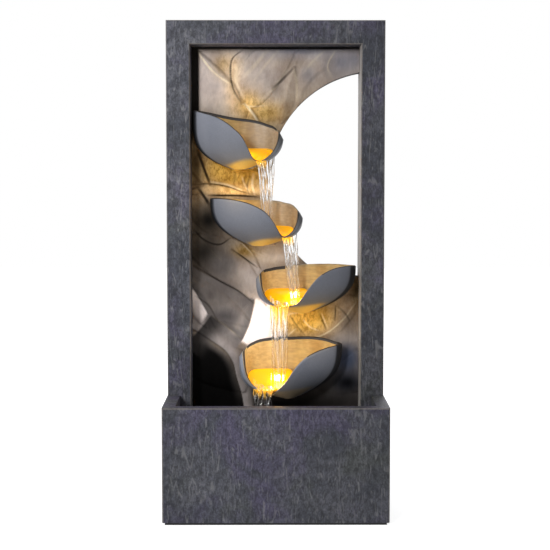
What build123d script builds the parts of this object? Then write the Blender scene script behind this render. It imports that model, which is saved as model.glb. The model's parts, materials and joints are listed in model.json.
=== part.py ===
from build123d import *
from collections import namedtuple
from math import ceil, radians, sqrt, tan
import os

# Cascade fountain of casting resin. X runs to the right, Y to the back, Z up, in millimetres.
# The origin is on the ground under the middle of the basin.

# Overall size
WIDTH = 350.0
DEPTH = 200.0
HEIGHT = 784.0

# Clearances
FIT_GAP = 0.3
HOLE_GAP = 0.2
RUN_GAP = 0.05
HOLE_END_GAP = 1.0
OVERLAP = 1.0

# Basin and its foot strips
PAD_HEIGHT = 4.0
PAD_INSET = 4.0
PAD_GAP = 3.0
BASIN_HEIGHT = 178.0
BASIN_WALL = 20.0
BASIN_BACK_WALL = 8.0
BASIN_FLOOR = 8.0
BASIN_SKIRT = 16.0
BASIN_EDGE = 2.0

# Tower frame, a hollow portal that is open to the back
TOWER_DEPTH = 76.0
BAR_WIDTH = 38.0
BAR_SKIN = 6.0
BAR_EDGE = 1.5
LEG_FLOOR_GAP = 1.0
SCREW_BLOCK_HEIGHT = 12.0
STILE_SCREWS = 4
STILE_SCREW_MARGIN = 40.0

# Relief panel and its crescent window
CAVITY_DEPTH = 19.0
PANEL_SKIN = 6.0
PANEL_FLANGE = 6.0
PANEL_DIP = 32.0
WINDOW_TOP_GAP = 37.7
WINDOW_BOLT_GAP = 14.2
WINDOW_CENTRE_RISE = 346.0
WINDOW_SILL_RISE = 190.0
POST_RADIUS = 5.0
LEFT_POSTS = 4
POST_MARGIN = 40.0

# Rear cover and hatch
COVER_THICKNESS = 6.0
HATCH_WIDTH = 150.0
HATCH_HEIGHT = 120.0
HATCH_RISE = 8.0
HATCH_THICKNESS = 2.5
HATCH_LEDGE = 9.0
HATCH_SCREW_INSET = 4.5

# Screws of the rear cover, the panel and the hatch
SCREW_RADIUS = 1.7
SCREW_LENGTH = 16.0
SCREW_HEAD_RADIUS = 3.6
SCREW_HEAD_HEIGHT = 2.2
HATCH_SCREW_RADIUS = 1.5
HATCH_SCREW_HEAD_RADIUS = 3.0
HATCH_SCREW_HEAD_HEIGHT = 1.4
HATCH_SCREW_LENGTH = 5.0
SLOT_WIDTH = 1.0
SLOT_SHARE = 0.6

# Cups. The tip stands near one side of the opening and the lip is cut into the front wall.
Cup = namedtuple("Cup", "name side length height lip_drop back_drop petal tip_gap tip_rise")
CUPS = [
    Cup("cup_1", -1, 147.0, 98.0, 82.0, 25.0, 100.0, 3.5, 459.0),
    Cup("cup_2", -1, 150.0, 78.0, 62.0, 8.0, 112.0, 31.0, 318.0),
    Cup("cup_3", 1, 154.0, 79.0, 62.0, 11.0, 102.0, 6.5, 209.0),
    Cup("cup_4", 1, 167.0, 88.0, 70.0, 14.0, 105.0, 28.5, 82.0),
]
CUP_DEPTH = 80.0
CUP_WALL = 5.0
CUP_FLOOR = 6.0
CUP_STANDOFF = 5.0
CUP_PAD = 7.0
STEM_SHARE = 0.56
STEM_WIDTH = 40.0
STEM_RISE = 3.0
STEM_HEIGHT = 40.0
STEM_EDGE = 14.0
STEM_CLEARANCE = 1.0
BOLT_RADIUS = 2.0
BOLT_SPREAD = 30.0
BOLT_RISE = 24.0
BOLT_GRIP = 8.0
BOLT_HEAD_RADIUS = 4.0
BOLT_HEAD_HEIGHT = 4.0

# Shape of every cup: how far each side tucks in at the bottom, as shares of the cup's own size,
# and how sharply it does so
TIP_TUCK = 0.60
END_TUCK = 0.34
FRONT_TUCK = 0.45
BACK_TUCK = 0.20
TIP_POWER = 4.2
END_POWER = 6.5
FRONT_POWER = 4.0
BACK_POWER = 2.6
TIP_SEAT = 0.20
END_SEAT = 0.45
LEAF_FULLNESS = 0.40
TIP_WALL_FACTOR = 1.6
SECTION_SHARES = (0.0, 0.05, 0.12, 0.30, 0.60, 1.0)
RIM_BACK_SHARE = 0.48
RIM_FRONT_SHARE = 0.72

# Front rim of a cup: share of its petal's length from the tip, share of the drop to the lip
FRONT_RIM = [
    (0.00, 0.00),
    (0.22, 0.10),
    (0.46, 0.20),
    (0.62, 0.29),
    (0.76, 0.46),
    (0.88, 0.65),
    (1.00, 1.00),
]
LIP_END_SHARE = 0.90
RIM_REACH = 0.10

# Back rim: besides its gentle fall it rounds off at the blunt end, as shares of that drop
END_ROUND = 26.0
BACK_RIM = [
    (0.00, 0.00),
    (0.40, 0.00),
    (0.80, 0.04),
    (0.92, 0.26),
    (1.00, 0.90),
    (1.10, 1.90),
]

# Lamp on the floor of each cup
LAMP_SHARE = 0.62
LAMP_RADIUS = 7.0
LAMP_HEIGHT = 5.0
LENS_RADIUS = 5.8
LENS_HEIGHT = 3.5
LAMP_DEPTH = 32.0
CABLE_RADIUS = 2.0
CABLE_COVER_GAP = 6.0
GROMMET_RADIUS = 3.6
GROMMET_LENGTH = 6.0
CLIP_WIDTH = 10.0
CLIP_HEIGHT = 6.0
CLIP_SPACING = 150.0
CLIP_SHARE = 0.20

# Junction box on the panel's back, with its lid to the hatch
BOX_HEIGHT = 24.0
BOX_RISE = 54.0
BOX_MARGIN = 12.0
BOX_WALL = 2.0
BOX_LID = 2.0

# Cable gland in a notch at the foot of the rear cover
GLAND_SIDE_GAP = 30.0
GLAND_WIDTH = 30.0
GLAND_HEIGHT = 24.0
GLAND_LIP = 4.0
GLAND_LIP_DEPTH = 4.0
GLAND_BORE_RADIUS = 3.2

# Riser hose and its elbow into the top cup
HOSE_RADIUS = 6.0
HOSE_BORE_RADIUS = 4.5
HOSE_SIDE_GAP = 37.0
HOSE_LIFT = 18.0
HOSE_SLANT = 32.0
HOSE_BEND_SHARE = 0.45
HOSE_CLIP_WIDTH = 22.0
HOSE_CLIP_HEIGHT = 10.0
HOSE_CLIPS = 3
ELBOW_DROP = 30.0
ELBOW_BARB = 16.0
ELBOW_COLLAR = 7.0
ELBOW_RADIUS = 5.5
ELBOW_BORE_RADIUS = 3.0
NOZZLE_REACH = 18.0

# Pump on the basin's floor, with its shaft along X
PUMP_BACK_GAP = 8.0
PUMP_LENGTH = 62.0
PUMP_WIDTH = 44.0
PUMP_HEIGHT = 46.0
PUMP_EDGE = 8.0
PUMP_COVER = 6.0
CHAMBER_RADIUS = 18.0
CHAMBER_DEPTH = 14.0
ROTOR_BORE_RADIUS = 12.0
ROTOR_BORE_DEPTH = 34.0
ROTOR_GAP = 1.0
IMPELLER_PLATE = 2.0
IMPELLER_GAP = 1.5
BLADE_COUNT = 6
BLADE_THICKNESS = 1.8
BLADE_INSET = 1.0
HUB_RADIUS = 4.5
SHAFT_RADIUS = 1.5
BUSH_RADIUS = 3.5
BUSH_LENGTH = 5.0
SPIGOT_BORE_RADIUS = 3.0
INTAKE_COUNT = 5
INTAKE_RADIUS = 2.6
INTAKE_CIRCLE = 10.5
SUCTION_HEIGHT = 8.0
SUCTION_RADIUS = 8.0
SUCTION_STEM_RADIUS = 3.5
SUCTION_INSET = 11.0

# Flow dial that turns over the intake holes
DIAL_RADIUS = 15.0
DIAL_THICKNESS = 3.0
DIAL_PIVOT_RADIUS = 3.0
DIAL_CAP_RADIUS = 4.5
DIAL_CAP_THICKNESS = 1.5
DIAL_LUG_WIDTH = 6.0
DIAL_LUG_REACH = 5.0

# Places worked out from the sizes above
HALF_WIDTH = WIDTH / 2
FRONT_Y = -DEPTH / 2
BACK_Y = DEPTH / 2
RIM_Z = PAD_HEIGHT + BASIN_HEIGHT
FLOOR_Z = PAD_HEIGHT + BASIN_SKIRT + BASIN_FLOOR
TUB_HALF = HALF_WIDTH - BASIN_WALL
TUB_FRONT_Y = FRONT_Y + BASIN_WALL
TUB_BACK_Y = BACK_Y - BASIN_BACK_WALL
TOWER_Y = BACK_Y - TOWER_DEPTH
OPENING_HALF = HALF_WIDTH - BAR_WIDTH
OPENING_TOP = HEIGHT - BAR_WIDTH
STILE_X = HALF_WIDTH - BAR_WIDTH / 2
COVER_Y = BACK_Y - COVER_THICKNESS
PANEL_BACK_Y = COVER_Y - CAVITY_DEPTH
PANEL_Y = PANEL_BACK_Y - PANEL_SKIN
PANEL_HALF = OPENING_HALF - FIT_GAP
PANEL_TOP = OPENING_TOP - FIT_GAP
PANEL_BOTTOM = RIM_Z - PANEL_DIP
COVER_HALF = HALF_WIDTH - BAR_SKIN - FIT_GAP
COVER_TOP = HEIGHT - BAR_SKIN - FIT_GAP
WINDOW_Z = RIM_Z + WINDOW_CENTRE_RISE
WINDOW_RADIUS = PANEL_TOP - WINDOW_TOP_GAP - WINDOW_Z
SILL_Z = RIM_Z + WINDOW_SILL_RISE
CUP_PAD_Y = PANEL_Y - CUP_PAD
CUP_BACK_Y = CUP_PAD_Y - CUP_STANDOFF
CABLE_Y = COVER_Y - CABLE_COVER_GAP - CABLE_RADIUS
CABLE_BEND = CABLE_Y - PANEL_BACK_Y - CABLE_RADIUS
BOX_Z = RIM_Z + BOX_RISE
HATCH_Z = RIM_Z + HATCH_RISE
HATCH_LEDGE_Y = BACK_Y - HATCH_THICKNESS
GLAND_X = OPENING_HALF - GLAND_SIDE_GAP
HOSE_X = HOSE_SIDE_GAP - OPENING_HALF
HOSE_Y = (PANEL_BACK_Y + COVER_Y) / 2
PUMP_Y = TUB_BACK_Y - PUMP_BACK_GAP - PUMP_WIDTH / 2
PUMP_Z = FLOOR_Z + SUCTION_HEIGHT
PUMP_AXIS_Z = PUMP_Z + PUMP_HEIGHT / 2
PUMP_TOP = PUMP_Z + PUMP_HEIGHT
PUMP_X = HOSE_X - CHAMBER_DEPTH / 2
PUMP_LEAD_X = PUMP_X + PUMP_LENGTH - SUCTION_INSET
COVER_X = PUMP_X - PUMP_COVER
SPIGOT_HEIGHT = HOSE_LIFT * (1 - HOSE_BEND_SHARE) - FIT_GAP
BEYOND = 2 * HEIGHT


def block(x0, x1, y0, y1, z0, z1):
    """Box between two corners."""
    centre = Pos((x0 + x1) / 2, (y0 + y1) / 2, (z0 + z1) / 2)
    return centre * Box(x1 - x0, y1 - y0, z1 - z0)


def rod_x(y, z, x0, x1, radius):
    """Round bar along X."""
    return Pos((x0 + x1) / 2, y, z) * Rot(0, 90, 0) * Cylinder(radius, x1 - x0)


def rod_y(x, z, y0, y1, radius):
    """Round bar along Y."""
    return Pos(x, (y0 + y1) / 2, z) * Rot(90, 0, 0) * Cylinder(radius, y1 - y0)


def rod_z(x, y, z0, z1, radius):
    """Round bar along Z."""
    return Pos(x, y, (z0 + z1) / 2) * Cylinder(radius, z1 - z0)


def sheet(x0, x1, z0, z1):
    """Rectangle drawn in x and z."""
    return Pos((x0 + x1) / 2, (z0 + z1) / 2) * Rectangle(x1 - x0, z1 - z0)


def slab(sketch, y0, y1):
    """Plate between two depths from a sketch drawn in x and z."""
    return extrude(Plane.XZ.offset(-y1) * sketch, y1 - y0)


def spaced(first, last, count):
    """Evenly spaced places from the first to the last."""
    return [first + (last - first) * i / (count - 1) for i in range(count)]


def tube_along(points, bends, radius):
    """Round bar along straight runs joined by tangent arcs."""
    path = FilletPolyline(*points, radius=bends)
    start = Plane(path @ 0, z_dir=path % 0)
    return sweep(start * Circle(radius), path=path)


def window_sketch(right_edge):
    """The crescent window: a circle that clears a bolt of the second cup, cut off by sill and stile."""
    bolt_x, bolt_z = bolt_places(CUPS[1])[1]
    reach = WINDOW_RADIUS + WINDOW_BOLT_GAP
    centre_x = bolt_x + sqrt(reach**2 - (WINDOW_Z - bolt_z)**2)
    circle = Pos(centre_x, WINDOW_Z) * Circle(WINDOW_RADIUS)
    return circle & sheet(-BEYOND, right_edge, SILL_Z, BEYOND)


# Where the screws, posts, cups and lamps stand

def stile_screw_places():
    """Screw centres of the rear cover along both stiles and in the top rail."""
    heights = spaced(RIM_Z + STILE_SCREW_MARGIN, OPENING_TOP - STILE_SCREW_MARGIN, STILE_SCREWS)
    rail = [(0.0, OPENING_TOP + BAR_WIDTH / 2)]
    return [(side * STILE_X, z) for side in (-1, 1) for z in heights] + rail


def post_places():
    """Screw posts on the panel's back, along its flange."""
    x = PANEL_HALF - PANEL_FLANGE - POST_RADIUS / 2
    low = RIM_Z + POST_MARGIN
    high = PANEL_TOP - PANEL_FLANGE - POST_RADIUS / 2
    left = [(-x, z) for z in spaced(low, high, LEFT_POSTS)]
    return left + [(x, low), (x, SILL_Z - POST_MARGIN), (x, high)]


def cup_tip(cup):
    """Tip of a cup: x, y and z."""
    return cup.side * (OPENING_HALF - cup.tip_gap), CUP_BACK_Y, RIM_Z + cup.tip_rise


def lamp_place(cup):
    """Middle of the lamp's foot on the floor of a cup."""
    x, y, z = cup_tip(cup)
    return x - cup.side * LAMP_SHARE * cup.length, y - LAMP_DEPTH, z - cup.height + CUP_FLOOR


def stem_place(cup):
    """Middle of a cup's stem in x, and the level of the cup's bottom."""
    x, y, z = cup_tip(cup)
    return x - cup.side * STEM_SHARE * cup.length, z - cup.height


def bolt_places(cup):
    """Centres of a cup's two bolts in x and z."""
    x, bottom = stem_place(cup)
    return [(x + side * BOLT_SPREAD / 2, bottom + BOLT_RISE) for side in (-1, 1)]


def elbow_height():
    """Height of the elbow's level leg."""
    return cup_tip(CUPS[0])[2] - ELBOW_DROP


# Basin

def make_basin():
    """Tub with a thick rim, hollow under its floor."""
    body = block(-HALF_WIDTH, HALF_WIDTH, FRONT_Y, BACK_Y, PAD_HEIGHT, RIM_Z)
    body = chamfer(body.edges().filter_by(Axis.Z), BASIN_EDGE)
    body = chamfer(body.faces().sort_by(Axis.Y)[0].edges().sort_by(Axis.Z)[-1], BASIN_EDGE)
    body -= block(-TUB_HALF, TUB_HALF, TUB_FRONT_Y, TUB_BACK_Y, FLOOR_Z, BEYOND)
    under = FLOOR_Z - BASIN_FLOOR
    return body - block(-TUB_HALF, TUB_HALF, TUB_FRONT_Y, TUB_BACK_Y, -BEYOND, under)


def make_foot_pads():
    """Rubber strips under the front wall and the side walls."""
    inner = TUB_HALF + PAD_INSET
    outer = HALF_WIDTH - PAD_INSET
    turn = TUB_FRONT_Y - PAD_INSET
    pads = [block(-outer, outer, FRONT_Y + PAD_INSET, turn, 0, PAD_HEIGHT)]
    for x0, x1 in ((-outer, -inner), (inner, outer)):
        pads.append(block(x0, x1, turn + PAD_GAP, BACK_Y - PAD_INSET, 0, PAD_HEIGHT))
    return Compound(children=[pad.solid() for pad in pads])


# Tower

def make_tower_frame():
    """Portal whose stiles stand on the rim with a shoulder and reach down inside the tub."""
    foot = FLOOR_Z + LEG_FLOOR_GAP
    frame = block(-HALF_WIDTH, HALF_WIDTH, TOWER_Y, BACK_Y, foot, HEIGHT)
    frame -= block(-OPENING_HALF, OPENING_HALF, -BEYOND, BEYOND, -BEYOND, OPENING_TOP)
    frame = chamfer(frame.faces().sort_by(Axis.Y)[0].edges(), BAR_EDGE)
    inside = HALF_WIDTH - BAR_SKIN
    front = TOWER_Y + BAR_SKIN
    roof = HEIGHT - BAR_SKIN
    frame -= block(-inside, inside, front, BEYOND, OPENING_TOP + BAR_SKIN, roof)
    for side in (-1, 1):
        x0, x1 = sorted((side * (OPENING_HALF + BAR_SKIN), side * inside))
        frame -= block(x0, x1, front, BEYOND, -BEYOND, roof)
        x0, x1 = sorted((side * (TUB_HALF - FIT_GAP), side * BEYOND))
        frame -= block(x0, x1, -BEYOND, BEYOND, -BEYOND, RIM_Z)
    frame -= block(-BEYOND, BEYOND, TUB_BACK_Y - FIT_GAP, BEYOND, -BEYOND, RIM_Z)
    for x, z in stile_screw_places():
        half = BAR_WIDTH / 2 - BAR_SKIN
        rise = SCREW_BLOCK_HEIGHT / 2
        if x:
            frame += block(x - half, x + half, front, COVER_Y, z - rise, z + rise)
        else:
            frame += block(x - rise, x + rise, front, COVER_Y, z - half, z + half)
        frame -= rod_y(x, z, BACK_Y - SCREW_LENGTH - HOLE_END_GAP, BEYOND, SCREW_RADIUS + HOLE_GAP)
    frame -= block(-inside, inside, COVER_Y, BEYOND, RIM_Z, roof)
    return frame


# Relief panel

Leaf = namedtuple("Leaf", "base tip belly edge crown")
LEAVES = [
    Leaf((-137.0, 550.0), (-20.0, 440.0), 62.0, 1.5, 3.0),
    Leaf((-50.0, 462.0), (70.0, 585.0), 84.0, 2.5, 3.0),
    Leaf((10.0, 452.0), (100.0, 560.0), 40.0, 3.0, 3.0),
    Leaf((85.0, 520.0), (150.0, 575.0), 34.0, 1.0, 2.5),
    Leaf((-150.0, 395.0), (10.0, 320.0), 50.0, 1.0, 3.0),
    Leaf((-150.0, 320.0), (0.0, 420.0), 40.0, 2.0, 3.0),
    Leaf((-150.0, 270.0), (-10.0, 150.0), 66.0, 2.5, 3.5),
    Leaf((-150.0, 165.0), (-15.0, 40.0), 72.0, 1.5, 3.5),
    Leaf((-140.0, 20.0), (-25.0, 165.0), 46.0, 2.0, 3.0),
    Leaf((-5.0, 105.0), (150.0, 175.0), 64.0, 2.0, 3.0),
    Leaf((40.0, 80.0), (150.0, 95.0), 46.0, 1.0, 3.0),
    Leaf((150.0, 10.0), (0.0, 20.0), 60.0, 1.5, 3.0),
]
RIB_WIDTH = 2.5


def leaf_outline(leaf, belly, y):
    """Pointed leaf between its base and its tip, from two arcs, at one depth."""
    base = Vector(leaf.base[0], y, RIM_Z + leaf.base[1])
    tip = Vector(leaf.tip[0], y, RIM_Z + leaf.tip[1])
    across = (tip - base).normalized().rotate(Axis.Y, 90) * (belly / 2)
    middle = (base + tip) / 2
    upper = ThreePointArc(base, middle + across, tip)
    lower = ThreePointArc(tip, middle - across, base)
    return Face(Wire([upper, lower]))


def make_leaf(leaf):
    """Blade with an upright edge that rises to its midrib."""
    edge_y = PANEL_Y - leaf.edge
    sections = [
        leaf_outline(leaf, leaf.belly, PANEL_BACK_Y),
        leaf_outline(leaf, leaf.belly, edge_y),
        leaf_outline(leaf, RIB_WIDTH, edge_y - leaf.crown),
    ]
    return loft(sections, ruled=True)


def make_relief_panel():
    """Tray that is open to the back, with leaves on its face and a flange round the window."""
    outline = sheet(-PANEL_HALF, PANEL_HALF, PANEL_BOTTOM, PANEL_TOP) - window_sketch(BEYOND)
    inside = offset(outline, -PANEL_FLANGE, kind=Kind.INTERSECTION)
    way_out = PANEL_HALF - PANEL_FLANGE
    inside += sheet(-way_out, way_out, PANEL_BOTTOM - PANEL_FLANGE, PANEL_BOTTOM + 2 * PANEL_FLANGE)
    panel = slab(outline, PANEL_Y, COVER_Y) - slab(inside, PANEL_BACK_Y, BEYOND)
    panel -= block(-BEYOND, BEYOND, TUB_BACK_Y - FIT_GAP, BEYOND, -BEYOND, RIM_Z)
    field = slab(outline, -BEYOND, PANEL_BACK_Y)
    for leaf in LEAVES:
        panel += make_leaf(leaf) & field
    for cup in CUPS:
        x, y, z = lamp_place(cup)
        stem_x, bottom = stem_place(cup)
        stem = sheet(stem_x - STEM_WIDTH / 2, stem_x + STEM_WIDTH / 2, *stem_heights(cup))
        panel -= slab(offset(stem, STEM_CLEARANCE), -BEYOND, CUP_PAD_Y)
        panel += slab(stem, CUP_PAD_Y, PANEL_BACK_Y)
        for bolt_x, bolt_z in bolt_places(cup):
            panel -= rod_y(bolt_x, bolt_z, -BEYOND, PANEL_BACK_Y + OVERLAP, BOLT_RADIUS + HOLE_GAP)
        lift = z + LAMP_HEIGHT / 2
        panel -= rod_y(x, lift, -BEYOND, PANEL_BACK_Y + OVERLAP, CABLE_RADIUS + HOLE_GAP)
    panel -= rod_y(HOSE_X, elbow_height(), -BEYOND, PANEL_BACK_Y + OVERLAP, ELBOW_RADIUS + HOLE_GAP)
    for x, z in post_places():
        panel += rod_y(x, z, PANEL_BACK_Y - OVERLAP, COVER_Y, POST_RADIUS)
        panel -= rod_y(x, z, BACK_Y - SCREW_LENGTH - HOLE_END_GAP, BEYOND, SCREW_RADIUS + HOLE_GAP)
    return panel


# Rear cover, hatch and their screws

def hatch_screw_places():
    """Two captive screws at the hatch's sides."""
    x = HATCH_WIDTH / 2 - HATCH_SCREW_INSET
    return [(-x, HATCH_Z + HATCH_HEIGHT / 2), (x, HATCH_Z + HATCH_HEIGHT / 2)]


def make_rear_cover():
    """Plate in the tower's back with the window, the hatch's way in and the gland's notch."""
    outline = sheet(-COVER_HALF, COVER_HALF, RIM_Z, COVER_TOP) - window_sketch(OPENING_HALF)
    half = HATCH_WIDTH / 2
    outline -= sheet(-half + HATCH_LEDGE, half - HATCH_LEDGE,
                     HATCH_Z + HATCH_LEDGE, HATCH_Z + HATCH_HEIGHT - HATCH_LEDGE)
    notch = GLAND_WIDTH / 2 + FIT_GAP
    outline -= sheet(GLAND_X - notch, GLAND_X + notch, -BEYOND, RIM_Z + GLAND_HEIGHT + FIT_GAP)
    cover = slab(outline, COVER_Y, BACK_Y)
    seat = sheet(-half - FIT_GAP, half + FIT_GAP, HATCH_Z - FIT_GAP, HATCH_Z + HATCH_HEIGHT + FIT_GAP)
    cover -= slab(seat, HATCH_LEDGE_Y, BEYOND)
    for x, z in stile_screw_places() + post_places():
        cover -= rod_y(x, z, -BEYOND, BEYOND, SCREW_RADIUS + HOLE_GAP)
        cover -= rod_y(x, z, BACK_Y - SCREW_HEAD_HEIGHT, BEYOND, SCREW_HEAD_RADIUS + HOLE_GAP)
    for x, z in hatch_screw_places():
        cover -= rod_y(x, z, -BEYOND, BEYOND, HATCH_SCREW_RADIUS + FIT_GAP)
    return cover


def screw(x, z, head_radius, head_height, radius, length):
    """Screw from the back with a flush head and a cross slot."""
    head_y = BACK_Y - head_height
    body = rod_y(x, z, head_y, BACK_Y, head_radius) + rod_y(x, z, BACK_Y - length, head_y, radius)
    slot_y = BACK_Y - head_height / 2
    reach = head_radius * SLOT_SHARE
    half = SLOT_WIDTH / 2
    body -= block(x - reach, x + reach, slot_y, BEYOND, z - half, z + half)
    return body - block(x - half, x + half, slot_y, BEYOND, z - reach, z + reach)


def make_cover_screws(places):
    """Group of equal screws."""
    group = [
        screw(x, z, SCREW_HEAD_RADIUS, SCREW_HEAD_HEIGHT, SCREW_RADIUS, SCREW_LENGTH)
        for x, z in places
    ]
    return Compound(children=[one.solid() for one in group])


def make_rear_hatch():
    """Lid that sits flush on its ledge."""
    half = HATCH_WIDTH / 2
    lid = slab(sheet(-half, half, HATCH_Z, HATCH_Z + HATCH_HEIGHT), HATCH_LEDGE_Y, BACK_Y)
    for x, z in hatch_screw_places():
        lid -= rod_y(x, z, -BEYOND, BEYOND, HATCH_SCREW_RADIUS + HOLE_GAP)
        lid -= rod_y(x, z, BACK_Y - HATCH_SCREW_HEAD_HEIGHT, BEYOND, HATCH_SCREW_HEAD_RADIUS + HOLE_GAP)
    return lid


def make_hatch_screws():
    """Captive screws of the hatch."""
    group = [
        screw(x, z, HATCH_SCREW_HEAD_RADIUS, HATCH_SCREW_HEAD_HEIGHT, HATCH_SCREW_RADIUS, HATCH_SCREW_LENGTH)
        for x, z in hatch_screw_places()
    ]
    return Compound(children=[one.solid() for one in group])


# Cups

def stem_heights(cup):
    """Lowest and highest level of the stem that carries a cup."""
    x, bottom = stem_place(cup)
    return bottom + STEM_RISE, bottom + STEM_RISE + STEM_HEIGHT


def leaf_section(cup, share, inset, level):
    """Level teardrop through a cup, with its point at x = 0 and its back at y = 0."""
    rise = 1 - share
    tip_x = cup.length * TIP_TUCK * rise**TIP_POWER + TIP_WALL_FACTOR * inset
    end_x = cup.length * (1 - END_TUCK * rise**END_POWER) - inset
    front = CUP_DEPTH * (1 - FRONT_TUCK * rise**FRONT_POWER) - inset
    back = CUP_DEPTH * BACK_TUCK * rise**BACK_POWER + inset
    tip_y = back + TIP_SEAT * (front - back)
    end_y = back + END_SEAT * (front - back)
    # The middle of each cubic curve lies on the cup's front or back
    front_pull = (8 * front - tip_y - end_y) / 6
    back_pull = (8 * back - tip_y - end_y) / 6
    shoulder = tip_x + LEAF_FULLNESS * (end_x - tip_x)
    tip = (tip_x, -tip_y, level)
    end = (end_x, -end_y, level)
    outer = Bezier(tip, (shoulder, -front_pull, level), (end_x, -front_pull, level), end)
    inner = Bezier(end, (end_x, -back_pull, level), (shoulder, -back_pull, level), tip)
    return Face(Wire([outer, inner]))


def leaf_body(cup, inset, floor):
    """Loft through the teardrops of a cup, from its floor up."""
    sections = []
    for share in SECTION_SHARES:
        lifted = floor / cup.height + share * (1 - floor / cup.height)
        sections.append(leaf_section(cup, lifted, inset, cup.height * (lifted - 1)))
    if floor:
        sections.append(leaf_section(cup, 1.0, inset, floor))
    return loft(sections)


def rim_cutter(cup):
    """Everything above the rim: the front rim dips to the lip, the back rim falls gently to a round end."""
    faces = []
    back_turn = -RIM_BACK_SHARE * CUP_DEPTH
    front_turn = -RIM_FRONT_SHARE * CUP_DEPTH
    reach = RIM_REACH * cup.length
    front = [(-reach, 0)]
    front += [(along * cup.petal, -down * cup.lip_drop) for along, down in FRONT_RIM]
    front += [(LIP_END_SHARE * cup.length, -cup.lip_drop), (cup.length + reach, -cup.lip_drop)]
    back = [(-reach, 0)]
    back += [
        (along * cup.length, -along * cup.back_drop - down * END_ROUND)
        for along, down in BACK_RIM
    ]
    stations = [(OVERLAP, back), (back_turn, back), (front_turn, front), (-CUP_DEPTH - OVERLAP, front)]
    for y, curve in stations:
        points = [(x, y, level) for x, level in curve]
        first, last = points[0], points[-1]
        top = cup.height
        rim = Spline(*points)
        sides = Polyline(last, (last[0], y, top), (first[0], y, top), first)
        faces.append(Face(Wire([rim] + list(sides.edges()))))
    return loft(faces, ruled=True)


def make_cup(cup):
    """Leaf-shaped cup with a lip, on a stem that bolts to the panel."""
    x, y, z = cup_tip(cup)
    body = leaf_body(cup, 0, 0)
    stem_x = STEM_SHARE * cup.length
    low, high = (level - z for level in stem_heights(cup))
    stem = block(stem_x - STEM_WIDTH / 2, stem_x + STEM_WIDTH / 2, -LAMP_DEPTH, CUP_STANDOFF, low, high)
    body += chamfer(stem.edges().filter_by(Axis.Y), STEM_EDGE)
    body -= leaf_body(cup, CUP_WALL, CUP_FLOOR)
    body -= rim_cutter(cup)
    if cup.side > 0:
        body = mirror(body, about=Plane.YZ)
    body = Pos(x, y, z) * body
    for bolt_x, bolt_z in bolt_places(cup):
        body -= rod_y(bolt_x, bolt_z, CUP_PAD_Y - BOLT_GRIP, BEYOND, BOLT_RADIUS + HOLE_GAP)
    lamp_x, lamp_y, lamp_z = lamp_place(cup)
    lift = lamp_z + LAMP_HEIGHT / 2
    body -= rod_y(lamp_x, lift, lamp_y, BEYOND, CABLE_RADIUS + HOLE_GAP)
    body -= rod_y(lamp_x, lift, CUP_PAD_Y - GROMMET_LENGTH, BEYOND, GROMMET_RADIUS)
    if cup is CUPS[0]:
        body -= rod_y(HOSE_X, elbow_height(), y - NOZZLE_REACH, BEYOND, ELBOW_RADIUS + HOLE_GAP)
    return body


def make_cup_bolts():
    """Two bolts for each cup, with their heads behind the panel."""
    bolts = []
    for cup in CUPS:
        for x, z in bolt_places(cup):
            shank = rod_y(x, z, CUP_PAD_Y - BOLT_GRIP + HOLE_END_GAP, PANEL_BACK_Y, BOLT_RADIUS)
            head = rod_y(x, z, PANEL_BACK_Y, PANEL_BACK_Y + BOLT_HEAD_HEIGHT, BOLT_HEAD_RADIUS)
            bolts.append((shank + head).solid())
    return Compound(children=bolts)


# Lamps and their cables

def make_lamp_base(cup):
    """Sealed puck on the floor of a cup."""
    x, y, z = lamp_place(cup)
    return rod_z(x, y, z, z + LAMP_HEIGHT, LAMP_RADIUS)


def make_lamp_lens(cup):
    """Low dome on the lamp's puck."""
    x, y, z = lamp_place(cup)
    z += LAMP_HEIGHT
    ball = (LENS_RADIUS**2 + LENS_HEIGHT**2) / (2 * LENS_HEIGHT)
    dome = Pos(x, y, z + LENS_HEIGHT - ball) * Sphere(ball)
    return dome & block(x - ball, x + ball, y - ball, y + ball, z, z + LENS_HEIGHT)


def make_lamp_grommets():
    """Rubber rings that seal each cable where it leaves its cup."""
    rings = []
    for cup in CUPS:
        x, y, z = lamp_place(cup)
        z += LAMP_HEIGHT / 2
        ring = rod_y(x, z, CUP_PAD_Y - GROMMET_LENGTH, CUP_PAD_Y, GROMMET_RADIUS)
        rings.append((ring - rod_y(x, z, -BEYOND, BEYOND, CABLE_RADIUS)).solid())
    return Compound(children=rings)


def make_lamp_cables():
    """One cable from each lamp, through stem and panel to the junction box."""
    cables = []
    for cup in CUPS:
        x, y, z = lamp_place(cup)
        z += LAMP_HEIGHT / 2
        end = BOX_Z + BOX_HEIGHT if z > BOX_Z else BOX_Z
        points = [(x, y + LAMP_RADIUS, z), (x, CABLE_Y, z), (x, CABLE_Y, end)]
        cables.append(tube_along(points, CABLE_BEND, CABLE_RADIUS).solid())
    return Compound(children=cables)


def make_cable_clips():
    """Saddles on the panel's back that hold the lamp cables."""
    clips = []
    for cup in CUPS:
        x, y, z = lamp_place(cup)
        end = BOX_Z + BOX_HEIGHT if z > BOX_Z else BOX_Z
        count = ceil(abs(z - end) / CLIP_SPACING)
        for i in range(count):
            level = end + (z - end) * (i + CLIP_SHARE) / count
            clip = block(x - CLIP_WIDTH / 2, x + CLIP_WIDTH / 2, PANEL_BACK_Y, CABLE_Y,
                         level - CLIP_HEIGHT / 2, level + CLIP_HEIGHT / 2)
            clips.append((clip - rod_z(x, CABLE_Y, 0, BEYOND, CABLE_RADIUS + HOLE_GAP)).solid())
    return Compound(children=clips)


# Junction box and gland

def box_ends():
    """Left and right end of the junction box, past the outer cables."""
    places = [lamp_place(cup)[0] for cup in CUPS] + [PUMP_LEAD_X]
    return min(places) - BOX_MARGIN, max(places) + BOX_MARGIN


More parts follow.
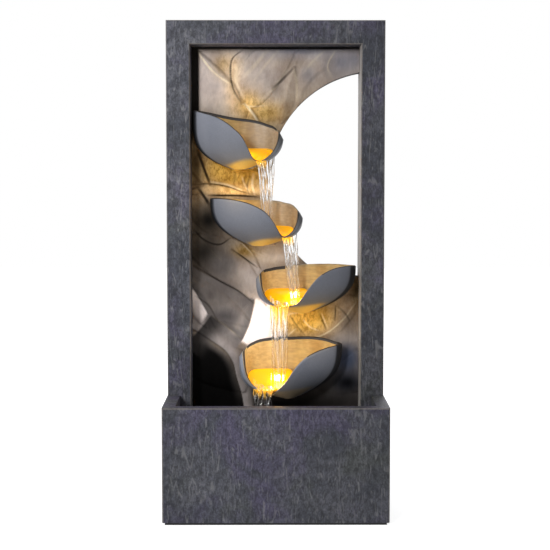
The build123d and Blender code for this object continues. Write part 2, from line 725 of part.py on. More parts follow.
def make_junction_box():
    """Open tray on the panel's back."""
    left, right = box_ends()
    front = CABLE_Y + CABLE_RADIUS + BOX_WALL
    box = block(left, right, PANEL_BACK_Y, front, BOX_Z, BOX_Z + BOX_HEIGHT)
    return box - block(left + BOX_WALL, right - BOX_WALL, PANEL_BACK_Y + BOX_WALL, BEYOND,
                       BOX_Z + BOX_WALL, BOX_Z + BOX_HEIGHT - BOX_WALL)


def make_junction_lid():
    """Lid of the junction box, facing the hatch."""
    left, right = box_ends()
    seat = CABLE_Y + CABLE_RADIUS + BOX_WALL
    lid = block(left, right, seat, seat + BOX_LID, BOX_Z, BOX_Z + BOX_HEIGHT)
    return chamfer(lid.faces().sort_by(Axis.Y)[-1].edges(), BOX_LID / 2)


def make_cable_gland():
    """Rubber block that fills the notch, with a lip inside and a hole for the supply lead."""
    half = GLAND_WIDTH / 2
    top = RIM_Z + GLAND_HEIGHT
    gland = block(GLAND_X - half, GLAND_X + half, COVER_Y, BACK_Y, RIM_Z, top)
    gland += block(GLAND_X - half - GLAND_LIP, GLAND_X + half + GLAND_LIP,
                   COVER_Y - GLAND_LIP_DEPTH, COVER_Y, RIM_Z, top + GLAND_LIP)
    return gland - rod_y(GLAND_X, RIM_Z + GLAND_HEIGHT / 2, 0, BEYOND, GLAND_BORE_RADIUS)


# Hose, clips and elbow

def make_riser_hose():
    """Hose from the pump's spigot, back under the panel and up to the elbow."""
    level = PUMP_TOP + HOSE_LIFT
    points = [
        (HOSE_X, PUMP_Y, PUMP_TOP),
        (HOSE_X, PUMP_Y, level),
        (HOSE_X, HOSE_Y, level + HOSE_SLANT),
        (HOSE_X, HOSE_Y, elbow_height() - ELBOW_COLLAR),
    ]
    runs = [Vector(*b) - Vector(*a) for a, b in zip(points, points[1:])]
    bends = []
    for before, after in zip(runs, runs[1:]):
        half_turn = tan(radians(before.get_angle(after)) / 2)
        bends.append(HOSE_BEND_SHARE * min(before.length, after.length) / half_turn)
    return tube_along(points, bends, HOSE_RADIUS) - tube_along(points, bends, HOSE_BORE_RADIUS)


def make_hose_clips():
    """Saddles on the panel's back that hold the hose."""
    clips = []
    half = HOSE_CLIP_WIDTH / 2
    low = RIM_Z + POST_MARGIN
    high = elbow_height() - 2 * POST_MARGIN
    for z in spaced(low, high, HOSE_CLIPS):
        clip = block(HOSE_X - half, HOSE_X + half, PANEL_BACK_Y, HOSE_Y,
                     z - HOSE_CLIP_HEIGHT / 2, z + HOSE_CLIP_HEIGHT / 2)
        clips.append((clip - rod_z(HOSE_X, HOSE_Y, 0, BEYOND, HOSE_RADIUS + HOLE_GAP)).solid())
    return Compound(children=clips)


def make_inlet_elbow():
    """Elbow with a barb in the hose and a nozzle through the panel into the top cup."""
    z = elbow_height()
    barb = HOSE_BORE_RADIUS - HOLE_GAP / 2
    nozzle_y = CUP_BACK_Y - NOZZLE_REACH
    body = rod_z(HOSE_X, HOSE_Y, z - ELBOW_BARB - ELBOW_COLLAR, z, barb)
    body += rod_z(HOSE_X, HOSE_Y, z - ELBOW_COLLAR, z, HOSE_RADIUS)
    body += Pos(HOSE_X, HOSE_Y, z) * Sphere(HOSE_RADIUS)
    body += rod_y(HOSE_X, z, nozzle_y, HOSE_Y, ELBOW_RADIUS)
    body -= rod_z(HOSE_X, HOSE_Y, 0, z, ELBOW_BORE_RADIUS)
    return body - rod_y(HOSE_X, z, -BEYOND, HOSE_Y, ELBOW_BORE_RADIUS)


# Pump

def pump_outline(x0, x1):
    """Block with rounded long edges, along X."""
    half = PUMP_WIDTH / 2
    body = block(x0, x1, PUMP_Y - half, PUMP_Y + half, PUMP_Z, PUMP_TOP)
    return fillet(body.edges().filter_by(Axis.X), PUMP_EDGE)


def make_pump_body():
    """Motor housing with the impeller's chamber, the rotor's bore and the spigot."""
    chamber_end = PUMP_X + CHAMBER_DEPTH
    bore_end = chamber_end + ROTOR_BORE_DEPTH
    body = pump_outline(PUMP_X, PUMP_X + PUMP_LENGTH)
    spigot = HOSE_BORE_RADIUS - HOLE_GAP / 2
    body += rod_z(HOSE_X, PUMP_Y, PUMP_TOP - OVERLAP, PUMP_TOP + SPIGOT_HEIGHT, spigot)
    body -= rod_z(HOSE_X, PUMP_Y, PUMP_AXIS_Z, BEYOND, SPIGOT_BORE_RADIUS)
    body -= rod_x(PUMP_Y, PUMP_AXIS_Z, PUMP_X, chamber_end, CHAMBER_RADIUS)
    body -= rod_x(PUMP_Y, PUMP_AXIS_Z, chamber_end, bore_end, ROTOR_BORE_RADIUS)
    return body - rod_x(PUMP_Y, PUMP_AXIS_Z, bore_end, bore_end + BUSH_LENGTH, BUSH_RADIUS)


def make_pump_cover():
    """End plate with the intake holes, the shaft's boss inside and the dial's pivot outside."""
    cover = pump_outline(COVER_X, PUMP_X)
    cap_x = COVER_X - DIAL_THICKNESS - 2 * FIT_GAP
    cover += rod_x(PUMP_Y, PUMP_AXIS_Z, cap_x, COVER_X, DIAL_PIVOT_RADIUS)
    cover += rod_x(PUMP_Y, PUMP_AXIS_Z, cap_x - DIAL_CAP_THICKNESS, cap_x, DIAL_CAP_RADIUS)
    cover -= rod_x(PUMP_Y, PUMP_AXIS_Z, PUMP_X - BUSH_LENGTH, PUMP_X, BUSH_RADIUS)
    for spot in PolarLocations(INTAKE_CIRCLE, INTAKE_COUNT).locations:
        y, z = PUMP_Y + spot.position.X, PUMP_AXIS_Z + spot.position.Y
        cover -= rod_x(y, z, COVER_X, PUMP_X, INTAKE_RADIUS)
    return cover


def make_pump_rotor():
    """Magnet drum with an impeller of straight blades, running on the shaft."""
    plate_x = PUMP_X + CHAMBER_DEPTH - IMPELLER_GAP
    drum_end = PUMP_X + CHAMBER_DEPTH + ROTOR_BORE_DEPTH - IMPELLER_GAP
    reach = CHAMBER_RADIUS - IMPELLER_GAP
    blade_x = PUMP_X + IMPELLER_GAP
    rotor = rod_x(PUMP_Y, PUMP_AXIS_Z, plate_x, drum_end, ROTOR_BORE_RADIUS - ROTOR_GAP)
    rotor += rod_x(PUMP_Y, PUMP_AXIS_Z, plate_x - IMPELLER_PLATE, plate_x, reach)
    rotor += rod_x(PUMP_Y, PUMP_AXIS_Z, blade_x, plate_x, HUB_RADIUS)
    blade = block(blade_x, plate_x, -BLADE_THICKNESS / 2, BLADE_THICKNESS / 2, 0, reach - BLADE_INSET)
    for i in range(BLADE_COUNT):
        rotor += Pos(0, PUMP_Y, PUMP_AXIS_Z) * Rot(360 * i / BLADE_COUNT, 0, 0) * blade
    return rotor - rod_x(PUMP_Y, PUMP_AXIS_Z, COVER_X, drum_end + OVERLAP, SHAFT_RADIUS + RUN_GAP)


def bush_places():
    """Left ends of the two shaft bushes."""
    return PUMP_X - BUSH_LENGTH, PUMP_X + CHAMBER_DEPTH + ROTOR_BORE_DEPTH


def make_pump_shaft():
    """Ceramic shaft held in a bush at each end."""
    first, last = bush_places()
    return rod_x(PUMP_Y, PUMP_AXIS_Z, first, last + BUSH_LENGTH, SHAFT_RADIUS)


def make_shaft_bushes():
    """Rubber bushes in the cover and at the bore's end."""
    rings = []
    for x in bush_places():
        ring = rod_x(PUMP_Y, PUMP_AXIS_Z, x, x + BUSH_LENGTH, BUSH_RADIUS)
        rings.append((ring - rod_x(PUMP_Y, PUMP_AXIS_Z, x, x + BUSH_LENGTH, SHAFT_RADIUS)).solid())
    return Compound(children=rings)


def make_flow_dial():
    """Disc that turns on the cover's pivot, with holes over the intake and a lug to push."""
    outer = COVER_X - FIT_GAP - DIAL_THICKNESS
    inner = COVER_X - FIT_GAP
    dial = rod_x(PUMP_Y, PUMP_AXIS_Z, outer, inner, DIAL_RADIUS)
    lug = block(outer, inner, PUMP_Y - DIAL_LUG_WIDTH / 2, PUMP_Y + DIAL_LUG_WIDTH / 2,
                PUMP_AXIS_Z, PUMP_AXIS_Z + DIAL_RADIUS + DIAL_LUG_REACH)
    dial += lug
    for spot in PolarLocations(INTAKE_CIRCLE, INTAKE_COUNT).locations:
        y, z = PUMP_Y + spot.position.X, PUMP_AXIS_Z + spot.position.Y
        dial -= rod_x(y, z, outer, inner, INTAKE_RADIUS)
    return dial - rod_x(PUMP_Y, PUMP_AXIS_Z, outer, inner, DIAL_PIVOT_RADIUS + RUN_GAP)


def make_suction_feet():
    """Four rubber suckers under the pump."""
    feet = []
    for x in (PUMP_X + SUCTION_INSET, PUMP_LEAD_X):
        for y in (PUMP_Y - PUMP_WIDTH / 2 + SUCTION_INSET, PUMP_Y + PUMP_WIDTH / 2 - SUCTION_INSET):
            foot = Pos(x, y, FLOOR_Z + SUCTION_HEIGHT / 2)
            feet.append((foot * Cone(SUCTION_RADIUS, SUCTION_STEM_RADIUS, SUCTION_HEIGHT)).solid())
    return Compound(children=feet)


def make_pump_lead():
    """Cable from the pump's back end, under the panel and up to the junction box."""
    level = PUMP_TOP + HOSE_LIFT
    points = [
        (PUMP_LEAD_X, PUMP_Y, PUMP_TOP),
        (PUMP_LEAD_X, PUMP_Y, level),
        (PUMP_LEAD_X, HOSE_Y, level + HOSE_SLANT),
        (PUMP_LEAD_X, HOSE_Y, BOX_Z),
    ]
    return tube_along(points, CABLE_BEND, CABLE_RADIUS)


# Every piece under its own name
def make_pieces():
    """All pieces of the fountain by name."""
    pieces = {
        "basin": make_basin(),
        "foot_pads": make_foot_pads(),
        "tower_frame": make_tower_frame(),
        "relief_panel": make_relief_panel(),
        "rear_cover": make_rear_cover(),
        "cover_screws": make_cover_screws(stile_screw_places()),
        "panel_screws": make_cover_screws(post_places()),
        "rear_hatch": make_rear_hatch(),
        "hatch_screws": make_hatch_screws(),
        "cup_bolts": make_cup_bolts(),
        "lamp_grommets": make_lamp_grommets(),
        "lamp_cables": make_lamp_cables(),
        "cable_clips": make_cable_clips(),
        "junction_box": make_junction_box(),
        "junction_lid": make_junction_lid(),
        "cable_gland": make_cable_gland(),
        "riser_hose": make_riser_hose(),
        "hose_clips": make_hose_clips(),
        "inlet_elbow": make_inlet_elbow(),
        "pump_body": make_pump_body(),
        "pump_cover": make_pump_cover(),
        "pump_rotor": make_pump_rotor(),
        "pump_shaft": make_pump_shaft(),
        "shaft_bushes": make_shaft_bushes(),
        "flow_dial": make_flow_dial(),
        "suction_feet": make_suction_feet(),
        "pump_lead": make_pump_lead(),
    }
    for cup in CUPS:
        number = cup.name[-1]
        pieces[cup.name] = make_cup(cup)
        pieces["lamp_base_" + number] = make_lamp_base(cup)
        pieces["lamp_lens_" + number] = make_lamp_lens(cup)
    return pieces


os.makedirs("parts", exist_ok=True)
for name, piece in make_pieces().items():
    export_step(piece, f"parts/{name}.step")
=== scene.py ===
# %% [markdown]
# # A lit cascade fountain of cast resin
# The CAD model of this fountain gives every piece its place: basin, tower, panel, cups, lamps and pump. It
# is loaded here as a fixed frame. This lesson gives each visible piece the finish and the fine forms of the
# real one: slate-like castings, a carved leaf panel, thin leaf cups with a gold lining, and running, lit
# water.

# %% Load the frame
import json
import math

import bmesh
import bpy
import numpy as np
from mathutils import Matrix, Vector


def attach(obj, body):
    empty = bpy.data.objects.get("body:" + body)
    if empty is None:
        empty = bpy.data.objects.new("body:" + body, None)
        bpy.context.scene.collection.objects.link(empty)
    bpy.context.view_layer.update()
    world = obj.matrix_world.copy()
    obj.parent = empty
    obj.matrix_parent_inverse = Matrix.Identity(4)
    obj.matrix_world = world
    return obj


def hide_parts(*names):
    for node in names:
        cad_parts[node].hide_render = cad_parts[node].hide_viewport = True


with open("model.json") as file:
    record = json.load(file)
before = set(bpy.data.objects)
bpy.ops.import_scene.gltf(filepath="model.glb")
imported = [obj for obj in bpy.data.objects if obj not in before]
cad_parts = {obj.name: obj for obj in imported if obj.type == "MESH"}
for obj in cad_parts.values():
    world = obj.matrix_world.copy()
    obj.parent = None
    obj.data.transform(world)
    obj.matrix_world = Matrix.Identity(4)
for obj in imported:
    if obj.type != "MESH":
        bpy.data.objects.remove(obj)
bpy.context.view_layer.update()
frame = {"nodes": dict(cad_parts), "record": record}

MM = 0.001

# %% [markdown]
# ## Camera
# The fountain is seen almost straight from the front, from a little above its middle. The camera could be
# placed by eye. Here its place, tilt and lens come from lining up the corners of basin and tower with the
# picture, so that every later piece can be compared at the same spot.

# %% Camera
CAMERA_PLACE = Vector((-9.82, -2064.78, 524.34)) * MM
CAMERA_PITCH, CAMERA_YAW = 0.07019, 0.00425
CAMERA_LENS, CAMERA_SENSOR = 85.03, 36


def add_object(name, data, location=(0, 0, 0)):
    """A new object in the scene."""
    thing = bpy.data.objects.new(name, data)
    thing.location = location
    bpy.context.scene.collection.objects.link(thing)
    return thing


camera_data = bpy.data.cameras.new("camera")
camera_data.lens = CAMERA_LENS
camera_data.sensor_width = CAMERA_SENSOR
camera = add_object("camera", camera_data, CAMERA_PLACE)
camera.rotation_euler = (math.pi / 2 - CAMERA_PITCH, 0, -CAMERA_YAW)
bpy.context.scene.camera = camera
bpy.context.scene.view_settings.view_transform = "Standard"
print("camera", [round(v, 3) for v in camera.location], "lens", camera_data.lens)

# %% [markdown]
# ## Tools for finishes
# Each finish is a tree of shader nodes. Writing every node and link by hand fills pages, so a few short
# helpers do it: one fills a node's sockets, one adds a node, and the others make the usual nodes, such as a
# noise, a value squeezed into a range or two colours mixed. A socket knows its own tree, so the helpers
# needn't be told. All patterns read Object coordinates, in metres, so a pattern keeps its real size and
# stays on its piece.

# %% Helpers for finishes
def fill(node, sockets):
    """Fill a node's inputs: another node's output is linked, a colour gets its alpha, a number is set."""
    for label, value in sockets.items():
        socket = node.inputs[label]
        if isinstance(value, bpy.types.NodeSocket):
            node.id_data.links.new(value, socket)
        elif isinstance(value, tuple) and len(socket.default_value) == 4:
            socket.default_value = (*value, 1)
        else:
            socket.default_value = value


def add_node(tree, kind, sockets, **settings):
    """A new shader node with its settings and filled sockets; gives its outputs."""
    node = tree.nodes.new("ShaderNode" + kind)
    for label, value in settings.items():
        setattr(node, label, value)
    fill(node, sockets)
    return node.outputs


def start_finish(name):
    """A new material; gives it with its shader and its Object coordinates."""
    finish = bpy.data.materials.new(name)
    finish.use_nodes = True
    tree = finish.node_tree
    return finish, tree.nodes["Principled BSDF"], add_node(tree, "TexCoord", {})["Object"]


def stretch(where, scale, turn=(0, 0, 0)):
    """Coordinates stretched and turned by a Mapping node."""
    return add_node(where.id_data, "Mapping", {"Vector": where, "Scale": scale, "Rotation": turn})["Vector"]


def noise(where, scale, detail=3.0, rough=0.5, distortion=0.0):
    """Value of a noise pattern."""
    sockets = {"Vector": where, "Scale": scale, "Detail": detail, "Roughness": rough,
               "Distortion": distortion}
    return add_node(where.id_data, "TexNoise", sockets)["Fac"]


def fit(value, low, high, to_low=0.0, to_high=1.0, kind="SMOOTHSTEP"):
    """Squeeze a value from one range into another."""
    sockets = {"Value": value, "From Min": low, "From Max": high, "To Min": to_low, "To Max": to_high}
    return add_node(value.id_data, "MapRange", sockets, interpolation_type=kind)["Result"]


def combine(kind, first, second):
    """Two values joined by one sum."""
    return add_node(first.id_data, "Math", {0: first, 1: second}, operation=kind)[0]


def times(first, second):
    """A product of two values."""
    return combine("MULTIPLY", first, second)


def blend(share, first, second, kind="MIX"):
    """Two colours mixed by a share."""
    linked = share if isinstance(share, bpy.types.NodeSocket) else first
    sockets = {0: share, 6: first, 7: second}
    return add_node(linked.id_data, "Mix", sockets, data_type="RGBA", blend_type=kind)[2]


def shaded(colour, value):
    """A colour made darker or lighter by a value."""
    return blend(1.0, colour, value, "MULTIPLY")


def split(vector):
    """The three parts of a vector."""
    return add_node(vector.id_data, "SeparateXYZ", {0: vector})


def bump(height, strength, distance):
    """A normal from a height."""
    sockets = {"Height": height, "Strength": strength, "Distance": distance}
    return add_node(height.id_data, "Bump", sockets)["Normal"]


def painted(shader, name, output="Fac"):
    """What a piece's points carry under a name."""
    return add_node(shader.id_data, "Attribute", {}, attribute_name=name)[output]


def start_group(name, inputs, outputs):
    """A node group with named sockets; gives it with its inputs and its end node."""
    group = bpy.data.node_groups.new(name, "ShaderNodeTree")
    for way, sockets in (("INPUT", inputs), ("OUTPUT", outputs)):
        for label, kind in sockets.items():
            group.interface.new_socket(label, in_out=way, socket_type="NodeSocket" + kind)
    return group, group.nodes.new("NodeGroupInput").outputs, group.nodes.new("NodeGroupOutput")


def lead(shader, group, values, strength, distance):
    """Lead a shader by the colour, gloss and height of a node group."""
    out = add_node(shader.id_data, "Group", values, node_tree=group)
    fill(shader, {"Base Color": out["Color"], "Roughness": out["Roughness"],
                  "Normal": bump(out["Height"], strength, distance)})


SKIN = {"Color": "Color", "Roughness": "Float", "Height": "Float"}
print("finish helpers ready, a group gives", list(SKIN))

# %% [markdown]
# ## Floor and white surroundings
# The object stands before plain white. A bright lamp could bleach the floor, but it would bleach the object
# too. So the world and the floor show white only to the camera, to reflections and to what is seen through
# water, and they light the object at a plain level. The floor's own white grows with the distance, so no
# horizon shows.

# %% World and floor
FLOOR_SIZE = 12.0
AMBIENT = 0.17
WHITE = (1.0, 1.0, 1.0)
FLOOR_GREY = (0.70, 0.70, 0.70)


def seen_directly(tree):
    """1 where the camera, a mirror or clear water looks, 0 for plain light."""
    path = add_node(tree, "LightPath", {})
    seen = combine("MAXIMUM", path["Is Camera Ray"], path["Is Glossy Ray"])
    return combine("MAXIMUM", seen, path["Is Transmission Ray"])


def as_mesh(name, bm):
    """A mesh from a bmesh, which is freed."""
    mesh = bpy.data.meshes.new(name)
    bm.to_mesh(mesh)
    bm.free()
    return mesh


world = bpy.data.worlds.new("white room")
world.use_nodes = True
bpy.context.scene.world = world
tree = world.node_tree
soft = tree.nodes["Background"]
fill(soft, {"Color": WHITE, "Strength": AMBIENT})
plain = add_node(tree, "Background", {"Color": WHITE, "Strength": 1.0})[0]
mixed = add_node(tree, "MixShader", {0: seen_directly(tree), 1: soft.outputs[0], 2: plain})[0]
fill(tree.nodes["World Output"], {"Surface": mixed})

bm = bmesh.new()
bmesh.ops.create_grid(bm, x_segments=1, y_segments=1, size=FLOOR_SIZE / 2)
floor = add_object("floor", as_mesh("floor", bm))
floor_finish, shader, where = start_finish("pale floor")
fill(shader, {"Base Color": FLOOR_GREY, "Roughness": 0.9, "Specular IOR Level": 0.0})
tree = shader.id_data
far = add_node(tree, "VectorMath", {0: where}, operation="LENGTH")["Value"]
glow = add_node(tree, "Emission", {"Strength": fit(far, 0.25, 1.1, 0.80, 1.0, "LINEAR")})[0]
both = add_node(tree, "AddShader", {0: shader.outputs[0], 1: glow})[0]
mixed = add_node(tree, "MixShader", {0: seen_directly(tree), 1: shader.outputs[0], 2: both})[0]
fill(tree.nodes["Material Output"], {"Surface": mixed})
floor.data.materials.append(floor_finish)
print("floor", FLOOR_SIZE, "m wide")

# %% [markdown]
# ## Studio lights
# The left stile is lighter than the right one, and the left and top walls of the recess are in deep shade.
# So the main soft light stands to the left, in front and above; a weaker one fills from the right. Large
# area lights give the soft edges of a studio.

# %% Studio lights
LIGHTS = [
    ("main light", (-0.95, -2.3, 1.2), 0.45, 26.0),
    ("side light", (-1.5, -1.0, 0.9), 1.2, 11.0),
    ("fill light", (1.5, -2.4, 0.7), 1.6, 2.5),
    ("back light", (0.3, 2.2, 1.8), 1.6, 22.0),
]
AIM = Vector((0, 0, 0.4))


def add_light(name, kind, location, watts, **settings):
    """A lamp in the scene."""
    data = bpy.data.lights.new(name, kind)
    data.energy = watts
    for label, value in settings.items():
        setattr(data, label, value)
    return add_object(name, data, location)


for name, location, size, watts in LIGHTS:
    lamp = add_light(name, "AREA", location, watts, shape="DISK", size=size)
    lamp.rotation_euler = (AIM - lamp.location).to_track_quat("-Z", "Y").to_euler()
print("studio lights", len(LIGHTS))

# %% [markdown]
# ## Slate finish
# Basin, tower and rear cover are castings with a skin like cleft slate: dark blue-grey with violet and
# greenish clouds, fine upright strokes and thin pale scratches. Where a face lies slantwise, on the small
# chamfers, a paler colour comes through: partly wear, partly a painted highlight of the light that the
# edges catch. Light and shade are painted on too: the castings are painted darker towards the right and
# towards the lower left, and the inner wall of the right stile is painted pale where the main light falls
# on it. A picture could be wrapped round the castings, but it would repeat and stretch at the edges. Layers
# of noise at several sizes have no seams, and a node group keeps them together.

# %% Slate node group and finish
SLATE_DEEP = (0.040, 0.043, 0.055)
SLATE_MID = (0.086, 0.088, 0.104)
SLATE_VIOLET = (0.075, 0.067, 0.112)
SLATE_GREEN = (0.062, 0.067, 0.063)
SLATE_PALE = (0.30, 0.30, 0.31)
SLATE_WORN_HIGHLIGHT = (0.20, 0.185, 0.175)
SLATE_REVEAL_HIGHLIGHT = (0.46, 0.44, 0.42)
BLACK = (0.0, 0.0, 0.0)
REVEAL_X = 0.137
# size of the noise, width of its lines, turn
SCRATCHES = [
    (60.0, 0.022, (0.2, 0.5, 0.1)), (85.0, 0.026, (-0.4, -0.9, 0.6)),
    (110.0, 0.034, (0.1, -0.15, 0.2)), (75.0, 0.024, (0.0, 1.1, 0.4)),
]


def far_from(value, middle):
    """How far a value lies from a middle one."""
    return combine("ABSOLUTE", combine("SUBTRACT", value, middle), 0.0)


def scratches(where, scale, width, turn):
    """Thin broken lines: the places where a stretched noise passes its middle."""
    lines = noise(stretch(where, (1.0, 1.0, 0.10), turn), scale, 0.0, 0.4, 0.05)
    broken = fit(noise(where, scale * 0.8, 3.0), 0.50, 0.62)
    return times(fit(far_from(lines, 0.5), 0.0, width, 1.0, 0.0), broken)


slate, put, end = start_group("slate mottle", {"Vector": "Vector", "Normal": "Vector"}, SKIN)
spot = put["Vector"]
clouds = noise(spot, 13.0, 6.0, 0.62, 0.5)
colour = blend(fit(clouds, 0.36, 0.66), SLATE_DEEP, SLATE_MID)
violet = fit(noise(stretch(spot, (1, 1, 1), (0.4, 0.7, 0.2)), 9.0, 4.0, 0.6, 0.8), 0.47, 0.66)
colour = blend(times(violet, 0.8), colour, SLATE_VIOLET)
green = fit(noise(stretch(spot, (1, 1, 1), (1.3, 0.1, 0.9)), 8.0, 4.0, 0.6, 0.8), 0.50, 0.70)
colour = blend(times(green, 0.7), colour, SLATE_GREEN)
strokes = noise(stretch(spot, (1.0, 1.0, 0.55)), 150.0, 5.0, 0.70, 0.5)
colour = shaded(colour, fit(strokes, 0.32, 0.68, 0.56, 1.52))
grain = noise(stretch(spot, (1.0, 1.0, 0.65)), 400.0, 4.0, 0.65)
colour = shaded(colour, fit(grain, 0.25, 0.75, 0.60, 1.44))
lines = scratches(spot, *SCRATCHES[0])
for scratch in SCRATCHES[1:]:
    lines = combine("MAXIMUM", lines, scratches(spot, *scratch))
colour = blend(times(lines, 0.42), colour, SLATE_PALE)
across, _, high = split(spot)
# painted shade: lighter on the left and darker towards the right, as the main light falls from the left
colour = shaded(colour, fit(across, -0.17, 0.17, 1.10, 0.80))
# painted shade: darker still towards the lower left
low_left_shade = times(fit(across, -0.16, -0.07, 1.0, 0.0), fit(high, 0.15, 0.50, 1.0, 0.0))
colour = blend(times(low_left_shade, 0.22), colour, BLACK)
facing = split(add_node(slate, "VectorMath", {0: put["Normal"]}, operation="ABSOLUTE")["Vector"])
squarest = combine("MAXIMUM", combine("MAXIMUM", facing[0], facing[1]), facing[2])
# wear and painted highlight: the slantwise chamfers are painted paler, as worn edges that catch the light
worn_and_highlit = times(fit(squarest, 0.80, 0.92, 1.0, 0.0), fit(strokes, 0.30, 0.55, 0.35, 0.8))
colour = blend(worn_and_highlit, colour, SLATE_WORN_HIGHLIGHT)
# painted highlight: the inner wall of the right stile faces the main light and is painted pale
reveal_highlight = times(fit(split(put["Normal"])[0], -0.95, -0.85, 1.0, 0.0),
               fit(far_from(across, REVEAL_X), 0.001, 0.002, 1.0, 0.0))
colour = blend(times(reveal_highlight, 0.85), colour, SLATE_REVEAL_HIGHLIGHT)
relief = combine("ADD", times(grain, 0.6), times(strokes, 0.6))
fill(end, {"Color": colour, "Roughness": fit(clouds, 0.3, 0.7, 0.50, 0.66),
           "Height": combine("SUBTRACT", relief, times(lines, 0.15))})

slate_resin, shader, where = start_finish("slate resin")
lead(shader, slate, {"Vector": where, "Normal": where.node.outputs["Normal"]}, 0.35, 0.0012)
fill(shader, {"Specular IOR Level": 0.25})
print("slate group nodes", len(slate.nodes))

# %% [markdown]
# ## Grained finishes for the small fittings
# Rubber, nylon, hose, screws and pump are plain moulded or plated pieces. One flat colour would look like a
# toy, so they share a second group: a fine grain that shifts the colour a little, changes the gloss and
# feeds a bump. Each finish only sets its own colour, gloss and grain size. All finishes are kept by the
# record's slots.

# %% Grain group and small finishes
GRAIN_INPUTS = {"Vector": "Vector", "Colour": "Color", "Scale": "Float", "Shift": "Float",
                "Gloss low": "Float", "Gloss high": "Float"}
grainy, put, end = start_group("fine grain", GRAIN_INPUTS, SKIN)
fine = noise(put["Vector"], put["Scale"], 4.0)
both = combine("ADD", times(fine, 0.6), times(noise(put["Vector"], 45.0, 3.0), 0.4))
away = times(combine("SUBTRACT", both, 0.5), put["Shift"])
spread = times(combine("SUBTRACT", put["Gloss high"], put["Gloss low"]), both)
fill(end, {"Color": shaded(put["Colour"], combine("ADD", away, 1.0)),
           "Roughness": combine("ADD", put["Gloss low"], spread), "Height": fine})


def small_finish(name, colour, scale, gloss, shift=0.9, rise=0.12, metal=0.0, clear=0.0):
    """Moulded, rubber or plated finish from the grain group."""
    finish, shader, where = start_finish(name)
    values = {"Vector": where, "Colour": colour, "Scale": scale, "Shift": shift,
              "Gloss low": gloss[0], "Gloss high": gloss[1]}
    lead(shader, grainy, values, rise, 0.0004)
    fill(shader, {"Metallic": metal, "Transmission Weight": clear})
    return finish


FINISHES = {
    "slate_resin": slate_resin,
    "black_rubber": small_finish("black rubber", (0.020, 0.020, 0.021), 900.0, (0.65, 0.9), rise=0.25),
    "zinc_steel": small_finish("zinc plated steel", (0.56, 0.56, 0.57), 700.0, (0.22, 0.42), 0.4, metal=1.0),
    "lamp_plastic": small_finish("lamp housing", (0.70, 0.66, 0.55), 500.0, (0.3, 0.5), 0.4),
    "cable_jacket": small_finish("cable jacket", (0.016, 0.016, 0.017), 600.0, (0.4, 0.6)),
    "clip_nylon": small_finish("clip nylon", (0.05, 0.05, 0.052), 800.0, (0.45, 0.7)),
    "hose_pvc": small_finish("hose", (0.62, 0.66, 0.66), 300.0, (0.15, 0.3), 0.3, clear=0.35),
    "pump_plastic": small_finish("pump housing", (0.022, 0.022, 0.025), 900.0, (0.4, 0.65), rise=0.3),
    "magnet": small_finish("magnet drum", (0.085, 0.085, 0.09), 400.0, (0.35, 0.6)),
    "shaft_ceramic": small_finish("ceramic shaft", (0.84, 0.83, 0.79), 600.0, (0.12, 0.25), 0.15),
    "dial_plastic": small_finish("dial", (0.08, 0.20, 0.32), 600.0, (0.25, 0.45), 0.4),
}
print("finishes so far", len(FINISHES))

# %% [markdown]
# ## Cup finishes
# The cups are smooth satin grey outside, and inside they carry a pale gold paint that the lamps light up.
# The grey has very soft clouds and almost no grain; light and shade are painted on it, with a gold glow of
# lamp light painted underneath. The gold has brush marks: a noise stretched along the cup, and painted lamp
# light makes it a richer gold towards the tip. The rim is painted almost black as shade, and a grey band of
# painted shade runs round the blunt end of the two upper cups.

# %% Cup finishes
def cup_outside_finish():
    """Satin grey resin with painted light and shade, and a golden glow of lamp light painted underneath."""
    finish, shader, where = start_finish("cup resin")
    clouds = noise(where, 16.0, 3.0, 0.5)
    grain = noise(where, 700.0, 3.0)
    colour = blend(fit(clouds, 0.3, 0.7), (0.176, 0.187, 0.222), (0.206, 0.216, 0.252))
    colour = shaded(colour, painted(shader, "lightness"))
    # painted light: a gold glow of lamp light on the underside
    colour = blend(painted(shader, "gold_and_lamp_light"), colour, (0.52, 0.34, 0.085))
    fill(shader, {"Base Color": shaded(colour, fit(grain, 0.3, 0.7, 0.93, 1.07)), "Specular IOR Level": 0.22,
                  "Roughness": fit(clouds, 0.3, 0.7, 0.40, 0.50), "Normal": bump(grain, 0.05, 0.0003)})
    return finish


def cup_lining_finish():
    """Pale golden paint with brush marks along the cup, richer where lamp light is painted on."""
    finish, shader, where = start_finish("cup lining")
    marks = noise(stretch(where, (0.25, 1.0, 1.0)), 260.0, 4.0, 0.6)
    clouds = fit(noise(stretch(where, (1.0, 1.0, 0.3)), 38.0, 3.0), 0.35, 0.65)
    beige = blend(clouds, (0.32, 0.250, 0.165), (0.42, 0.355, 0.275))
    lamp_lit_gold = blend(clouds, (0.38, 0.235, 0.075), (0.52, 0.370, 0.150))
    # painted lamp light: the lining turns from beige to a lamp-lit gold where the lamp light falls
    colour = shaded(blend(painted(shader, "gold_and_lamp_light"), beige, lamp_lit_gold), fit(marks, 0.3, 0.7, 0.85, 1.15))
    fill(shader, {"Base Color": colour, "Roughness": fit(marks, 0.3, 0.7, 0.38, 0.55), "Metallic": 0.1,
                  "Specular IOR Level": 0.3, "Normal": bump(marks, 0.08, 0.0004)})
    return finish


FINISHES["cup_resin"] = cup_outside_finish()
# the rim and end band finishes are painted shade: a near-black rim and a dark grey band at the blunt end
CUP_FINISHES = [
    FINISHES["cup_resin"], small_finish("cup rim", (0.022, 0.018, 0.016), 500.0, (0.5, 0.7), 0.6),
    cup_lining_finish(), small_finish("cup end band", (0.085, 0.088, 0.092), 500.0, (0.4, 0.6), 0.4),
]
OUTSIDE, RIM_SHADE, LINING, END_BAND_SHADE = range(4)
print("cup finishes", [finish.name for finish in CUP_FINISHES])

